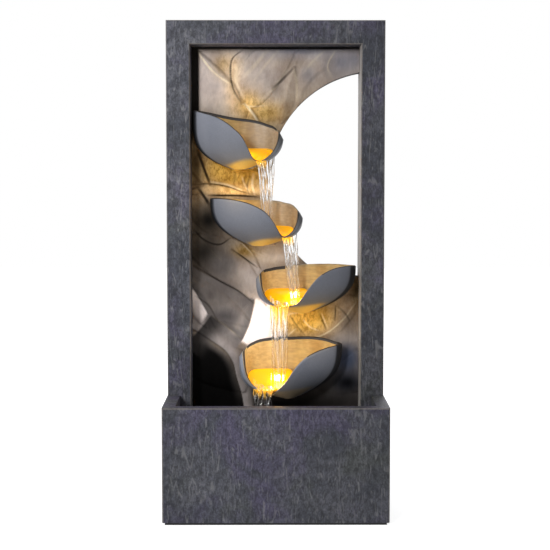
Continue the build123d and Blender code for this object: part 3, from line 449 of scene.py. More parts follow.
# %% [markdown]
# ## Making a piece
# Every new piece is a bmesh that becomes one object at the origin, with its place in its mesh, and then
# rides on a body of the CAD model. The first helper does those steps, gives the piece its finishes and hides
# the CAD nodes that the piece stands for. Two more make the shapes that pieces start from or end with: an
# upright tube with many rings, which each piece then bends its own way, and a sheet that is closed to a
# body.

# %% Helpers for pieces
def make_piece(name, bm, finishes, body="fountain", nodes=(), smooth=True):
    """Turn a bmesh into a piece of the fountain."""
    mesh = as_mesh(name, bm)
    for finish in finishes:
        mesh.materials.append(finish)
    if smooth:
        mesh.shade_smooth()
    piece = add_object(name, mesh)
    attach(piece, body)
    if nodes:
        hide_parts(*nodes)
    print(name, "faces", len(mesh.polygons))
    return piece


def tube(sides, rings, caps=False):
    """An upright tube with its rings, and the edges of its two open ends."""
    bm = bmesh.new()
    bmesh.ops.create_cone(bm, cap_ends=caps, segments=sides, radius1=1, radius2=1, depth=1)
    upright = [e for e in bm.edges if abs(e.verts[0].co.z - e.verts[1].co.z) > 0.5]
    bmesh.ops.subdivide_edges(bm, edges=upright, cuts=rings - 1)
    return bm, [[e for e in bm.edges if e.is_boundary and e.verts[0].co.z * sign > 0] for sign in (-1, 1)]


def close_sheet(bm, axis, level):
    """Lead a sheet's rim to a level along an axis and close it there; gives the edges of rim and back."""
    rim = [e for e in bm.edges if e.is_boundary]
    made = bmesh.ops.extrude_edge_only(bm, edges=rim)["geom"]
    for vert in (g for g in made if isinstance(g, bmesh.types.BMVert)):
        vert.co[axis] = level * MM
    back = [e for e in bm.edges if e.is_boundary]
    bmesh.ops.edgeloop_fill(bm, edges=back)
    bmesh.ops.recalc_face_normals(bm, faces=bm.faces)
    return rim + back


def join(first, *others):
    """Put several bmeshes into the first one."""
    for other in others:
        mesh = as_mesh("joined", other)
        first.from_mesh(mesh)
        bpy.data.meshes.remove(mesh)
    return first


print("piece helpers ready for", len(FINISHES), "finishes")

# %% [markdown]
# ## Shape of a leaf cup
# Each cup is a leaf folded into a bowl: level cuts through it are teardrops that shrink towards the floor.
# Its back rim is almost straight and rounds off at the blunt end; its front rim swings down from the tip to
# a wide lip. The tip and the main sizes are those of the CAD model. The cups here are a little rounder and
# shallower, and their rims are drawn through more points, as the real ones show. The wall is thin at the
# petal and thick round the blunt end, where it shows as a band.

# %% Leaf cup shape
CUP_BACK_Y, CUP_DEPTH, CUP_FLOOR = 57.0, 80.0, 6.0
CUP_WALL, CUP_END_WALL = 4.4, 9.0
# per cup: how light its outside is painted, how strong the painted gold glow of lamp light underneath is,
# where its back rim is painted dark as shade, and how much painted lamp light turns the lining gold
CUPS = {
    "cup_1": dict(side=-1, length=147.0, height=94.0, lip=82.0, stem=82.32, petal=100.0, tip=(-133.5, 641.0),
                  tuck=(0.44, 4.4), dark_rim=(1.0, 2.0), under=1.0, light=1.04, gold_and_lamp_light=0.0),
    "cup_2": dict(side=-1, length=150.0, height=75.5, lip=62.0, stem=84.0, petal=112.0, tip=(-106.0, 500.0),
                  tuck=(0.44, 3.0), dark_rim=(1.97, 2.0), under=0.95, light=0.97, gold_and_lamp_light=0.15),
    "cup_3": dict(side=1, length=162.0, height=75.0, lip=62.0, stem=86.24, petal=102.0, tip=(130.5, 391.0),
                  tuck=(0.47, 3.0), dark_rim=(1.0, 1.45), under=1.0, light=0.97, gold_and_lamp_light=0.68),
    "cup_4": dict(side=1, length=167.0, height=86.0, lip=70.0, stem=93.52, petal=105.0, tip=(108.5, 264.0),
                  tuck=(0.44, 3.2), dark_rim=(1.0, 2.0), under=0.35, light=1.40, gold_and_lamp_light=0.90),
}
# front edge of each petal: shares of the petal's length, and how far the edge has dropped to the lip there
EDGES = {
    "cup_1": ([-0.3, 0, 0.20, 0.34, 0.52, 0.67, 0.83, 0.91, 0.98, 1.06, 1.8],
              [0, 0, 0.07, 0.125, 0.235, 0.375, 0.59, 0.79, 0.95, 1, 1]),
    "cup_2": ([-0.3, 0, 0.21, 0.39, 0.54, 0.70, 0.82, 0.89, 0.95, 1.02, 1.10, 1.8],
              [0, 0, 0.01, 0.05, 0.115, 0.235, 0.38, 0.53, 0.71, 0.93, 1, 1]),
    "cup_3": ([-0.3, 0, 0.18, 0.33, 0.49, 0.62, 0.73, 0.81, 0.89, 0.95, 1.03, 1.8],
              [0, 0, 0.01, 0.04, 0.135, 0.27, 0.465, 0.65, 0.835, 0.95, 1, 1]),
    "cup_4": ([-0.3, 0, 0.07, 0.22, 0.39, 0.55, 0.67, 0.76, 0.85, 0.92, 1.0, 1.8],
              [0, 0, 0.03, 0.06, 0.125, 0.23, 0.37, 0.53, 0.74, 0.88, 1, 1]),
}
# back rim of each cup: shares of the cup's length, and how far the rim lies under the tip there (mm)
RIMS = {
    "cup_1": ([-0.1, 0, 0.4, 0.8, 0.92, 1.0, 1.1], [0, 0, 10, 21, 29.8, 48.4, 76.9]),
    "cup_2": ([-0.1, 0, 0.4, 0.8, 0.92, 1.0, 1.1], [0, 0, 3.2, 7.4, 14.1, 31.4, 58.2]),
    "cup_3": ([-0.1, 0, 0.2, 0.67, 0.85, 0.95, 1.0, 1.1], [0, 0, -1.6, 1.6, 5, 10, 20, 40]),
    "cup_4": ([-0.1, 0, 0.065, 0.15, 0.26, 0.53, 0.70, 0.84, 0.93, 1.0, 1.1],
              [0, 0, -2, -6.5, -8.9, -8.1, -7.3, -3, 4.8, 19, 42]),
}
for name, cup in CUPS.items():
    cup["edge"], cup["rim"] = EDGES[name], RIMS[name]
HIGHEST_RIM = 12.0
LIP_FROM, LIP_TO = 0.73, 1.0
END_TUCK, FRONT_TUCK, BACK_TUCK = 0.42, 0.45, 0.20
TIP_SHARE, END_SHARE, SHOULDER, TIP_INSET = 0.20, 0.45, 0.40, 1.6


def ease(value, low, high):
    """0 below the low end, 1 above the high end, smooth between."""
    s = np.clip((value - low) / (high - low), 0, 1)
    return s * s * (3 - 2 * s)


def smooth_curve(at, xs, ys):
    """Smooth line through a few points (cubic steps with the slopes of the neighbours)."""
    xs, ys = np.array(xs), np.array(ys)
    slopes = np.gradient(ys, xs)
    i = np.clip(np.searchsorted(xs, at) - 1, 0, len(xs) - 2)
    run = xs[i + 1] - xs[i]
    s = np.clip((at - xs[i]) / run, 0, 1)
    return ((2 * s**3 - 3 * s**2 + 1) * ys[i] + (s**3 - 2 * s**2 + s) * run * slopes[i]
            + (3 * s**2 - 2 * s**3) * ys[i + 1] + (s**3 - s**2) * run * slopes[i + 1])


def teardrop(cup, turn, level, inset):
    """Place on the level teardrop: turn runs 0 to 1 along the front and 1 to 2 along the back."""
    rise = np.maximum(-level / cup["height"], 0)
    tuck, power = cup["tuck"]
    tip_x = cup["length"] * tuck * rise**power + TIP_INSET * inset
    end_x = cup["length"] * (1 - END_TUCK * rise**6) - inset
    front = CUP_DEPTH * (1 - FRONT_TUCK * rise**4) - inset
    back = CUP_DEPTH * BACK_TUCK * rise**2.6 + inset
    tip_y = back + TIP_SHARE * (front - back)
    end_y = back + END_SHARE * (front - back)
    wall, s = (front, turn) if turn <= 1 else (back, 2 - turn)
    pull = (8 * wall - tip_y - end_y) / 6
    shoulder = tip_x + SHOULDER * (end_x - tip_x)
    a, b, c, d = (1 - s)**3, 3 * (1 - s)**2 * s, 3 * (1 - s) * s**2, s**3
    return a * tip_x + b * shoulder + (c + d) * end_x, -(a * tip_y + (b + c) * pull + d * end_y)


def wall_inset(turn):
    """Wall thickness round the cup."""
    return CUP_WALL + (CUP_END_WALL - CUP_WALL) * math.exp(-((turn - 1.05) / 0.22)**2)


def rim_level(cup, turn, x):
    """Height of the rim over a place: the back rim falls to a round end, the front edge dips to the lip."""
    back = smooth_curve(np.maximum(x / cup["length"], 0), *cup["rim"])
    front = cup["lip"] * smooth_curve(x / cup["petal"], *cup["edge"])
    share = 1 - ease(turn, LIP_FROM, LIP_TO)
    return -(back + share * (front - back))


def rim_on_wall(cup, turn, inset):
    """Level at which the wall meets the rim."""
    levels = np.linspace(CUP_FLOOR / 2 - cup["height"], HIGHEST_RIM, 450)
    x, _ = teardrop(cup, turn, levels, inset)
    above = levels >= rim_level(cup, turn, x)
    return float(levels[np.argmax(above)]) if above.any() else 0.0


def cup_point(cup, x, y, level):
    """From a cup's own measures to metres in the room."""
    tip_x, tip_z = cup["tip"]
    return Vector((tip_x - cup["side"] * x, CUP_BACK_Y + y, tip_z + level)) * MM


print("cups", len(CUPS), "lip of the top cup at", CUPS["cup_1"]["tip"][1] - CUPS["cup_1"]["lip"], "mm")

# %% [markdown]
# ## Leaf cups
# A cup could be a single skin with a thickness modifier, but a thick skin folds into itself at the sharp
# tip. Here one long tube is folded over like a cuff: its lower rings form the outside, its middle rings
# roll over the rim, and its upper rings run down again as the lining. The two ends close the floor. Light
# and shade are painted on the tube's points: painted shade along the tip, paler above, and a painted gold
# glow of lamp light underneath. A short stem joins cup and panel.

# %% Leaf cups
CUP_SIDES = 144
OUTER_RINGS, RIM_RINGS, INNER_RINGS = 26, 6, 20
ROLLED = OUTER_RINGS + RIM_RINGS
# EDGE_BAND is the depth of the lining's top band, which is painted dark as shade along the back rim
RIM_ROUND, EDGE_BAND, FLOOR_INSET = 1.3, 3.4, 3.0
STEM_WIDTH, STEM_RISE, STEM_HEIGHT, STEM_BACK = 40.0, 3.0, 40.0, 62.0
STEM_LOW_Y, STEM_HIGH_Y, STEM_EDGE, STEM_LIGHT = 40.5, 52.0, 14.0, 0.25
# by the side that the cup's tip points to: where the painted shade along the tip ends, and how the painted
# gold glow underneath tilts
TIP_DARK = {-1: 0.042, 1: 0.060}
UNDER_TILT = {-1: 0.10, 1: -0.05}


def turn_of(spot):
    """How far round the tube a spot lies, as the teardrop's turn."""
    return (1 + math.atan2(spot.y, spot.x) / math.pi) % 2.0


def cup_ring_place(cup, turn, ring, tops):
    """Place of one vertex of the folded tube, by its ring."""
    top, inner_top = tops
    bottom, floor = -cup["height"], CUP_FLOOR - cup["height"]

    def at(level, inset):
        return cup_point(cup, *teardrop(cup, turn, level, inset), level)

    if ring <= OUTER_RINGS:
        return at(bottom + (top - bottom) * (ring / OUTER_RINGS)**1.5, 0)
    if ring > ROLLED:
        down = (ring - ROLLED - 1) / (INNER_RINGS - 1)
        return at(floor + (inner_top - EDGE_BAND - floor) * (1 - down)**1.5, wall_inset(turn))
    share = (ring - OUTER_RINGS) / RIM_RINGS
    over = Vector((0, 0, RIM_ROUND * math.sin(math.pi * share))) * MM
    return at(top, 0).lerp(at(inner_top, wall_inset(turn)), share) + over


def cup_zone(cup, turn, ring):
    """Which finish a face of the folded tube has."""
    if ring < OUTER_RINGS:
        return OUTSIDE
    if ring > ROLLED + 1:
        return LINING
    # painted shade: the back rim takes the near-black rim finish, and the blunt end of the upper cups the
    # dark band
    dark_from, dark_to = cup["dark_rim"]
    dark_back = turn > 1.0 and dark_from < turn < dark_to
    if ring > ROLLED:
        return RIM_SHADE if dark_back and turn > 1.12 else LINING
    if 0.72 < turn < 1.32 and ring < OUTER_RINGS + 0.7 * RIM_RINGS:
        return END_BAND_SHADE if cup["side"] < 0 else OUTSIDE
    if turn > 1.0:
        return RIM_SHADE if dark_back else LINING
    return OUTSIDE if cup["side"] > 0 and 0.26 < turn < 0.50 else RIM_SHADE


def cup_shade(cup, turn, rise):
    """Painted light and shade of the outside, and the share of its golden glow of lamp light underneath."""
    side = min(turn, 2 - turn)
    dark_to = TIP_DARK[cup["side"]]
    # painted light and shade: paler towards the top, nearly black along the tip
    light = cup["light"] * (1.24 - 0.60 * rise) * (0.06 + 0.94 * float(ease(side, dark_to - 0.02, dark_to)))
    under_from = 0.80 + UNDER_TILT[cup["side"]] * (1 - float(ease(side, 0.10, 0.50)))
    under = ease(rise, under_from, under_from + 0.07) * ease(side, 0.05, 0.15) * (1 - ease(side, 0.72, 0.86))
    return light, float(under) * cup["under"]


def make_cup(name, cup):
    """One cup: outside, rolled rim and lining from a folded tube."""
    rings = ROLLED + INNER_RINGS
    bm, ends = tube(CUP_SIDES, rings)
    for face in bm.faces:
        middle = face.calc_center_median()
        face.material_index = cup_zone(cup, turn_of(middle), (middle.z + 0.5) * rings)
    light, gold_and_lamp_light = (bm.verts.layers.float.new(label) for label in ("lightness", "gold_and_lamp_light"))
    tops = {}
    for vert in bm.verts:
        turn = turn_of(vert.co)
        key = round(turn, 4)
        if key not in tops:
            tops[key] = rim_on_wall(cup, turn, 0), rim_on_wall(cup, turn, wall_inset(turn))
        ring = round((vert.co.z + 0.5) * rings)
        vert.co = cup_ring_place(cup, turn, ring, tops[key])
        vert[light], vert[gold_and_lamp_light] = cup_shade(cup, turn, (cup["tip"][1] - vert.co.z / MM) / cup["height"])
        # painted lamp light: the lining is a richer gold towards the tip, and more so in the lower cups
        if ring > OUTER_RINGS + RIM_RINGS / 2:
            along = abs(vert.co.x / MM - cup["tip"][0]) / cup["length"]
            vert[gold_and_lamp_light] = float(max(1 - ease(along, 0.42, 0.74), cup["gold_and_lamp_light"]))
    for edges, zone in zip(ends, (OUTSIDE, LINING)):
        for face in bmesh.ops.edgeloop_fill(bm, edges=edges)["faces"]:
            face.material_index = zone
            bmesh.ops.inset_region(bm, faces=[face], thickness=FLOOR_INSET * MM)
    bmesh.ops.recalc_face_normals(bm, faces=bm.faces)
    return make_piece(name + "_shell", bm, CUP_FINISHES, nodes=[name])


def make_stem(name, cup):
    """Stem from the cup's back to its pad on the panel, with its front face on the cup's slanted back."""
    middle = cup_point(cup, cup["stem"], 0, STEM_RISE - cup["height"] + STEM_HEIGHT / 2)
    bm = bmesh.new()
    bmesh.ops.create_cube(bm, size=1)
    light = bm.verts.layers.float.new("lightness")
    for vert in bm.verts:
        front = STEM_HIGH_Y if vert.co.z > 0 else STEM_LOW_Y
        y = STEM_BACK if vert.co.y > 0 else front
        x, z = middle.x + vert.co.x * STEM_WIDTH * MM, middle.z + vert.co.z * STEM_HEIGHT * MM
        vert.co = Vector((x, y * MM, z))
        # painted shade: the stem between cup and panel is painted dark
        vert[light] = STEM_LIGHT
    runs = [(e, e.verts[0].co - e.verts[1].co) for e in bm.edges]
    long_edges = [edge for edge, run in runs if abs(run.y) > abs(run.z) and abs(run.y) > abs(run.x)]
    bmesh.ops.bevel(bm, geom=long_edges, offset=STEM_EDGE * MM, affect="EDGES", segments=6, profile=0.5,
                    material=-1)
    return make_piece(name + "_stem", bm, CUP_FINISHES[:1], smooth=False)


for name, cup in CUPS.items():
    make_cup(name, cup)
    make_stem(name, cup)

# %% [markdown]
# ## Carved leaf panel: blades, lines, washes and creases
# The panel behind the cups is carved with large, smooth, overlapping blades. Sculpting by hand can't be
# repeated from a script. So each blade is written down with its midrib, as three points, and its widths,
# and a height is worked out from it. Later blades lie on earlier ones. Over them run single carved lines:
# thin cuts painted near black as shade, and bright ridges of rubbed wear with a painted highlight, each
# with a few points and a width. The paint, with painted light and shade, is laid on in soft washes, as a
# painter would: each has a place, a size, a lightness and a share of gold, the gold partly painted lamp
# light; the darkest washes are painted shade and the brightest painted light. Last come the creases of the
# large folds, where the surface steps up and the painted light and shade change at once, from one side to
# the other.

# %% Blades, lines, washes and creases of the panel
PANEL_FACE_Y = 69.0
# midrib (base, middle, tip), width left and right of it, edge height, crown
BLADES = [
    [(-145, 270), (-95, 250), (-50, 180), 48, 50, 0.6, 3.0],
    [(145, 185), (95, 235), (30, 250), 45, 45, 0.6, 2.6],
    [(-20, 612), (-70, 698), (-144, 752), 105, 5, 0.4, 3.8],
    [(36, 652), (70, 722), (118, 768), 24, 26, 0.4, 2.0],
    [(-42, 646), (-22, 702), (48, 780), 42, 24, 1.6, 1.4],
    [(10, 622), (16, 668), (32, 716), 17, 15, 0.6, 2.4],
    [(-150, 622), (-124, 575), (-106, 512), 4, 24, 2.0, 1.8],
    [(-142, 512), (-84, 526), (-22, 501), 6, 12, 2.4, 1.4],
    [(-146, 505), (-118, 452), (-70, 430), 44, 13, 1.8, 2.6],
    [(-150, 432), (-90, 396), (-16, 322), 40, 22, 1.6, 3.6],
    [(-150, 372), (-96, 344), (-34, 288), 12, 34, 0.6, 3.4],
    [(-80, 433), (-55, 418), (-26, 385), 12, 6, 2.6, 1.2],
    [(-142, 352), (-126, 318), (-112, 286), 16, 14, 1.6, 1.4],
    [(-112, 310), (-82, 290), (-44, 248), 4, 22, 2.2, 1.2],
    [(60, 236), (108, 262), (146, 268), 24, 24, 0.8, 1.8],
    [(6, 274), (66, 298), (142, 338), 36, 42, 1.2, 1.8],
]
# points, half width, and how dark (below 0: a cut painted as shade) or bright (above 0: a ridge of rubbed
# wear with a painted highlight) the line is
LINES = [
    ([(-127, 738), (-98, 703), (-72, 685)], 1.6, 0.9), ([(-50, 654), (-38, 640), (-26, 622)], 2.2, 0.8),
    ([(-54, 741), (-70, 727), (-73, 703), (-69, 680), (-55, 654)], 1.1, -0.85),
    ([(-55, 654), (-40, 650), (-14, 652)], 1.0, 0.5), ([(-64, 712), (-64, 690), (-52, 664)], 3.0, 0.35),
    ([(-5, 678), (11, 693), (30, 713)], 1.6, -0.62), ([(30, 712), (34, 690), (35, 659)], 1.3, 0.55),
    ([(-51, 698), (-34, 716), (-14, 740)], 3.2, 0.30), ([(-36, 690), (-18, 714), (4, 740)], 2.2, 0.22),
    ([(-20, 664), (2, 684), (18, 710)], 2.4, 0.30), ([(97, 740), (85, 714), (92, 695)], 1.3, 0.55),
    ([(46, 704), (60, 722), (80, 740)], 2.0, 0.25), ([(40, 662), (56, 690), (82, 712)], 2.2, -0.22),
    ([(-127, 578), (-118, 552), (-107, 523)], 1.9, -0.95),
    ([(-127, 518), (-118, 505), (-107, 488)], 2.0, -0.95),
    ([(-137, 522), (-108, 524), (-76, 519), (-54, 511), (-38, 507)], 1.1, -0.75),
    ([(-110, 505), (-68, 505), (-27, 503)], 1.4, -1.0), ([(-106, 527), (-78, 522), (-56, 514)], 1.8, 0.7),
    ([(-42, 536), (-46, 520), (-44, 508)], 1.2, -0.4), ([(-36, 540), (-38, 522), (-34, 506)], 2.2, 0.6),
    ([(-55, 536), (-50, 522), (-42, 510)], 1.6, 0.45), ([(-70, 546), (-66, 534), (-70, 526)], 2.6, -0.35),
    ([(-134, 449), (-119, 434), (-91, 425), (-74, 435)], 1.1, -0.9),
    ([(-134, 446), (-110, 420), (-84, 394)], 0.9, 0.4), ([(-72, 417), (-52, 403), (-31, 387)], 1.1, -0.75),
    ([(-58, 431), (-46, 418), (-35, 406)], 1.2, 0.65),
    ([(-134, 390), (-91, 364), (-58, 346), (-36, 328)], 1.2, -0.85),
    ([(-104, 306), (-79, 288), (-56, 270)], 1.2, 0.4), ([(-132, 340), (-112, 326), (-96, 300)], 1.2, -0.5),
    ([(60, 268), (84, 278), (112, 301), (133, 330)], 1.6, 0.9),
    ([(73, 311), (78, 298), (84, 284)], 1.1, -0.6), ([(76, 312), (81, 299), (87, 285)], 1.0, 0.6),
    ([(99, 324), (99, 312), (98, 300)], 1.1, -0.6), ([(25, 306), (36, 290), (47, 276)], 1.1, -0.5),
    ([(34, 286), (27, 280), (20, 274)], 1.2, 0.6), ([(46, 300), (58, 288), (72, 282)], 1.2, 0.6),
    ([(10, 304), (24, 310), (48, 314)], 1.6, 0.4), ([(104, 322), (116, 310), (124, 296)], 1.2, -0.5),
]
# place (x, z), reach sideways and upwards, lightness, gold share (below 0: blue-grey)
# the washes paint light and shade over the paint's tone: the near-black ones at the foot and the lower left
# are painted shade, the brightest painted light, such as the white glow beside the third cup
WASHES = [
    (-95, 690, 70, 55, 1.66, 0.14), (-82, 718, 22, 18, 1.15, 0.60), (-20, 695, 38, 40, 1.14, 0.16),
    (60, 700, 38, 35, 0.93, 0.24), (108, 722, 28, 26, 0.66, -0.20), (-15, 638, 34, 20, 1.02, 0.75),
    (-118, 700, 16, 48, 1.95, 0.14), (-70, 692, 15, 52, 2.05, 0.45), (-45, 652, 22, 26, 1.75, 0.72),
    (40, 740, 90, 12, 0.84, -0.22), (53, 702, 11, 12, 0.60, 0.00), (4, 676, 10, 14, 0.62, 0.25),
    (128, 726, 16, 20, 0.66, -0.20),
    (-66, 548, 56, 32, 1.08, 1.12), (-130, 555, 13, 46, 0.20, 0.55), (-66, 512, 46, 9, 2.40, 0.65),
    (-110, 464, 36, 32, 0.010, 0.35), (-114, 410, 42, 46, 0.010, 0.25), (-84, 390, 28, 24, 0.24, 0.0),
    (-38, 372, 24, 26, 1.00, 0.04), (-50, 414, 20, 11, 0.50, 0.75), (2, 410, 26, 18, 1.30, 0.22),
    (-96, 346, 38, 20, 0.25, 0.04), (-22, 298, 20, 42, 2.30, 0.00), (-84, 306, 34, 22, 0.20, -0.10),
    (-124, 322, 14, 28, 0.34, 0.00), (-100, 206, 64, 52, 0.010, 0.20), (0, 160, 400, 42, 0.010, 0.10),
    (52, 304, 46, 30, 1.40, 1.05), (122, 296, 16, 26, 0.42, 0.35), (134, 350, 12, 34, 0.10, 0.60),
    (118, 236, 30, 36, 0.44, -0.50), (118, 196, 34, 22, 0.02, -0.30),
]
# creases of the large folds: points, step up on the left of the run (below 0: on the right), then on
# the left and on the right how far a tone of painted light and shade reaches, its lightness and how
# softly it begins
CREASES = [
    ([(-150, 400), (-112, 374), (-85, 363), (-62, 350), (-36, 328)], 1.4, (0, 0, 1), (28, 0.34, 1.3)),
    ([(-140, 360), (-127, 339), (-112, 312), (-98, 284)], 1.2, (8, 0.30, 1.3), (20, 2.0, 1.3)),
    ([(-114, 312), (-82, 289), (-52, 265)], 1.4, (9, 0.26, 1.3), (22, 0.44, 1.3)),
    ([(-33, 338), (-38, 310), (-43, 292), (-58, 262)], -1.6, (42, 2.3, 1.3), (14, 0.30, 1.3)),
    ([(-165, 300), (-131, 282), (-103, 264), (-82, 248), (-71, 231), (-64, 204), (-57, 180), (-50, 135)], 1.8,
     (15, 0.80, 1.3), (140, 0.004, 16.0)),
    ([(-152, 258), (-130, 282), (-106, 312)], 1.0, (0, 0, 1), (30, 0.10, 4.0)),
]
CREASE_SOFT, CREASE_REACH, CREASE_END, CREASE_GREY = 1.3, 14.0, 0.07, 0.8
GROUND_LIGHT, GROUND_GOLD = 0.72, 0.35
CUT_DEPTH, CUT_WIDTH, CUT_STRENGTH, RIDGE_HEIGHT, EDGE_SOFT = 0.9, 1.3, 1.2, 0.7, 2.0
LOWEST, HIGHEST = -1.2, 6.4
SHADE_X, SHADE_LOW, SHADE_TOP, SHADE_DEPTH = -125.5, 600.0, 742.5, 0.97
RIDGE_STEPS = 48


def midrib(blade):
    """Places along a blade's midrib and its directions."""
    base, middle, tip = (np.array(point, float) for point in blade[:3])
    s = np.linspace(0, 1, RIDGE_STEPS)[:, None]
    places = (1 - s)**2 * base + 2 * s * (1 - s) * middle + s**2 * tip
    heading = 2 * (1 - s) * (middle - base) + 2 * s * (tip - middle)
    return places, heading / np.linalg.norm(heading, axis=1)[:, None]


def along_points(points):
    """Places along a smooth line through a few points and its directions."""
    points = np.array(points, float)
    knots = np.concatenate([[0], np.cumsum(np.linalg.norm(np.diff(points, axis=0), axis=1))])
    run = np.linspace(0, knots[-1], RIDGE_STEPS)
    places = np.stack([smooth_curve(run, knots, points[:, i]) for i in (0, 1)], axis=1)
    heading = np.gradient(places, axis=0)
    return places, heading / np.linalg.norm(heading, axis=1)[:, None]


def nearest(line, spots):
    """For each spot: the nearest place's number, the step from it, and the step's parts left and ahead."""
    places, heading = line
    away = spots[:, None, :] - places[None]
    near = np.argmin((away**2).sum(2), axis=1)
    step, ahead = away[np.arange(len(spots)), near], heading[near]
    return near, step, ahead[:, 0] * step[:, 1] - ahead[:, 1] * step[:, 0], (ahead * step).sum(1)


def on_blade(blade, spots):
    """For each spot: distance to the left of the midrib, and the blade's width on that side."""
    near, _, left, past = nearest(midrib(blade), spots)
    along = np.clip(near / (RIDGE_STEPS - 1), 0.004, 0.996)
    width = np.where(left > 0, blade[3], blade[4]) * np.sin(np.pi * along**0.85)**0.75
    outside = ((near == 0) & (past < 0)) | ((near == RIDGE_STEPS - 1) & (past > 0))
    return left, np.where(outside, 0.01, width)


def on_line(points, spots):
    """For each spot: distance to a carved line, and how full the line is there."""
    near, step, _, _ = nearest(along_points(points), spots)
    share = np.clip(near / (RIDGE_STEPS - 1), 0.02, 0.98)
    return np.sqrt((step**2).sum(1)), np.sin(np.pi * share)**0.4


def on_crease(points, spots):
    """For each spot: distance to the left of a crease, and a share that fades out at the crease's ends."""
    near, _, left, _ = nearest(along_points(points), spots)
    share = near / (RIDGE_STEPS - 1)
    return left, ease(share, 0, CREASE_END) * ease(1 - share, 0, CREASE_END)


def within(points, reach, spots):
    """Which spots lie near some points."""
    points = np.array(points, float)
    return ((spots > points.min(0) - reach) & (spots < points.max(0) + reach)).all(1)


def carve(spots):
    """Height in millimetres, masks of ridges painted bright and cuts painted as shade, for x and z spots."""
    x, z = spots[:, 0], spots[:, 1]
    height = 0.5 * np.sin(0.05 * x + 0.03 * z) * np.sin(0.04 * z - 0.02 * x)
    rubbed_highlight, cut_shade = np.zeros(len(spots)), np.zeros(len(spots))
    for blade in BLADES:
        edge, crown = blade[5:]
        box = within(blade[:3], max(blade[3], blade[4]) + 8, spots)
        left, width = on_blade(blade, spots[box])
        inside = ease(width - np.abs(left), -EDGE_SOFT, EDGE_SOFT)
        rise = edge + crown * np.clip(1 - np.abs(left) / width, 0, 1)**0.8
        height[box] += inside * (rise - height[box])
    for points, lift, *_ in CREASES:
        left, full = on_crease(points, spots)
        left = left * np.sign(lift)
        height += abs(lift) * full * ease(left, -CREASE_SOFT, CREASE_SOFT) * np.exp(-(left / CREASE_REACH)**2)
    for points, width, tone in LINES:
        box = within(points, 4 * width, spots)
        away, full = on_line(points, spots[box])
        # a dark line is a cut, and its mask paints shade into it; a bright line is a ridge
        if tone < 0:
            mask, reach, strength, lift = cut_shade, CUT_WIDTH, CUT_STRENGTH, -CUT_DEPTH
        else:
            mask, reach, strength, lift = rubbed_highlight, 1.0, 1.0, RIDGE_HEIGHT
        line = np.exp(-(away / (reach * width))**4) * np.minimum(full * abs(tone) * strength, 1)
        mask[box] = np.maximum(mask[box], line)
        height[box] += line * lift
    return np.clip(height, LOWEST, HIGHEST), np.clip(rubbed_highlight, 0, 1), np.clip(cut_shade, 0, 1)


def paint(spots):
    """Painted light, shade and golden share of the washes and creases, with deep shade by the top left."""
    x, z = spots[:, 0], spots[:, 1]
    light = np.full(len(spots), GROUND_LIGHT)
    gold_and_lamp_light = np.full(len(spots), GROUND_GOLD)
    for wash_x, wash_z, reach_x, reach_z, lightness, share in WASHES:
        cover = np.exp(-((x - wash_x) / reach_x)**2 - ((z - wash_z) / reach_z)**2)
        light += cover * (lightness - light)
        gold_and_lamp_light += cover * (share - gold_and_lamp_light)
    # painted light and shade of the folds: each side of a crease gets its own tone
    for points, _, *tones in CREASES:
        left, full = on_crease(points, spots)
        for sign, (reach, lightness, soft) in zip((1, -1), tones):
            if reach:
                cover = full * ease(sign * left, 0, soft) * np.exp(-(left / reach)**4)
                light += cover * (lightness - light)
                gold_and_lamp_light -= CREASE_GREY * cover * gold_and_lamp_light
    side = ease(-x, -SHADE_X - 1, -SHADE_X + 1) * ease(z, SHADE_LOW - 15, SHADE_LOW + 15)
    shade = np.maximum(side, ease(z, SHADE_TOP - 1, SHADE_TOP + 1))
    return light * (1 - SHADE_DEPTH * shade), gold_and_lamp_light, shade


print("blades", len(BLADES), "lines", len(LINES), "washes", len(WASHES), "creases", len(CREASES))

# %% [markdown]
# ## Carved leaf panel: the mesh
# A grid is bent to the panel's outline: each row ends at the right stile or at the crescent window, so the
# window's edge is a clean curve without cutting. A second grid fills the panel below the window's sill. The
# carver's heights push the grid's points forward, and the masks are kept as attributes for the finish.
# Behind the carving stands a tray with a wall all round, made from one face by extruding and insetting.

# %% Carved panel mesh
PANEL_HALF, PANEL_LOW, PANEL_HIGH = 136.7, 150.0, 745.7
WINDOW_X, WINDOW_Z, WINDOW_R, SILL_Z = 169.04, 528.0, 180.0, 372.0
WINDOW_STEPS = 44
TRAY_FRONT, TRAY_BACK, TRAY_FLOOR, TRAY_WALL = 71.0, 94.0, 75.0, 6.0
SHEET_BACK = 72.0
PADS = [(-51.18, 543.0), (-22.0, 422.0), (44.26, 312.0), (14.98, 176.0)]
PAD_HALF, PAD_RISE, PAD_HEIGHT = 21.0, 23.0, 7.0
CELL = 1.28


def right_edge(z):
    """Where the panel ends on its right at a height."""
    if z < SILL_Z or abs(z - WINDOW_Z) >= WINDOW_R:
        return PANEL_HALF
    return min(PANEL_HALF, WINDOW_X - math.sqrt(WINDOW_R**2 - (z - WINDOW_Z)**2))


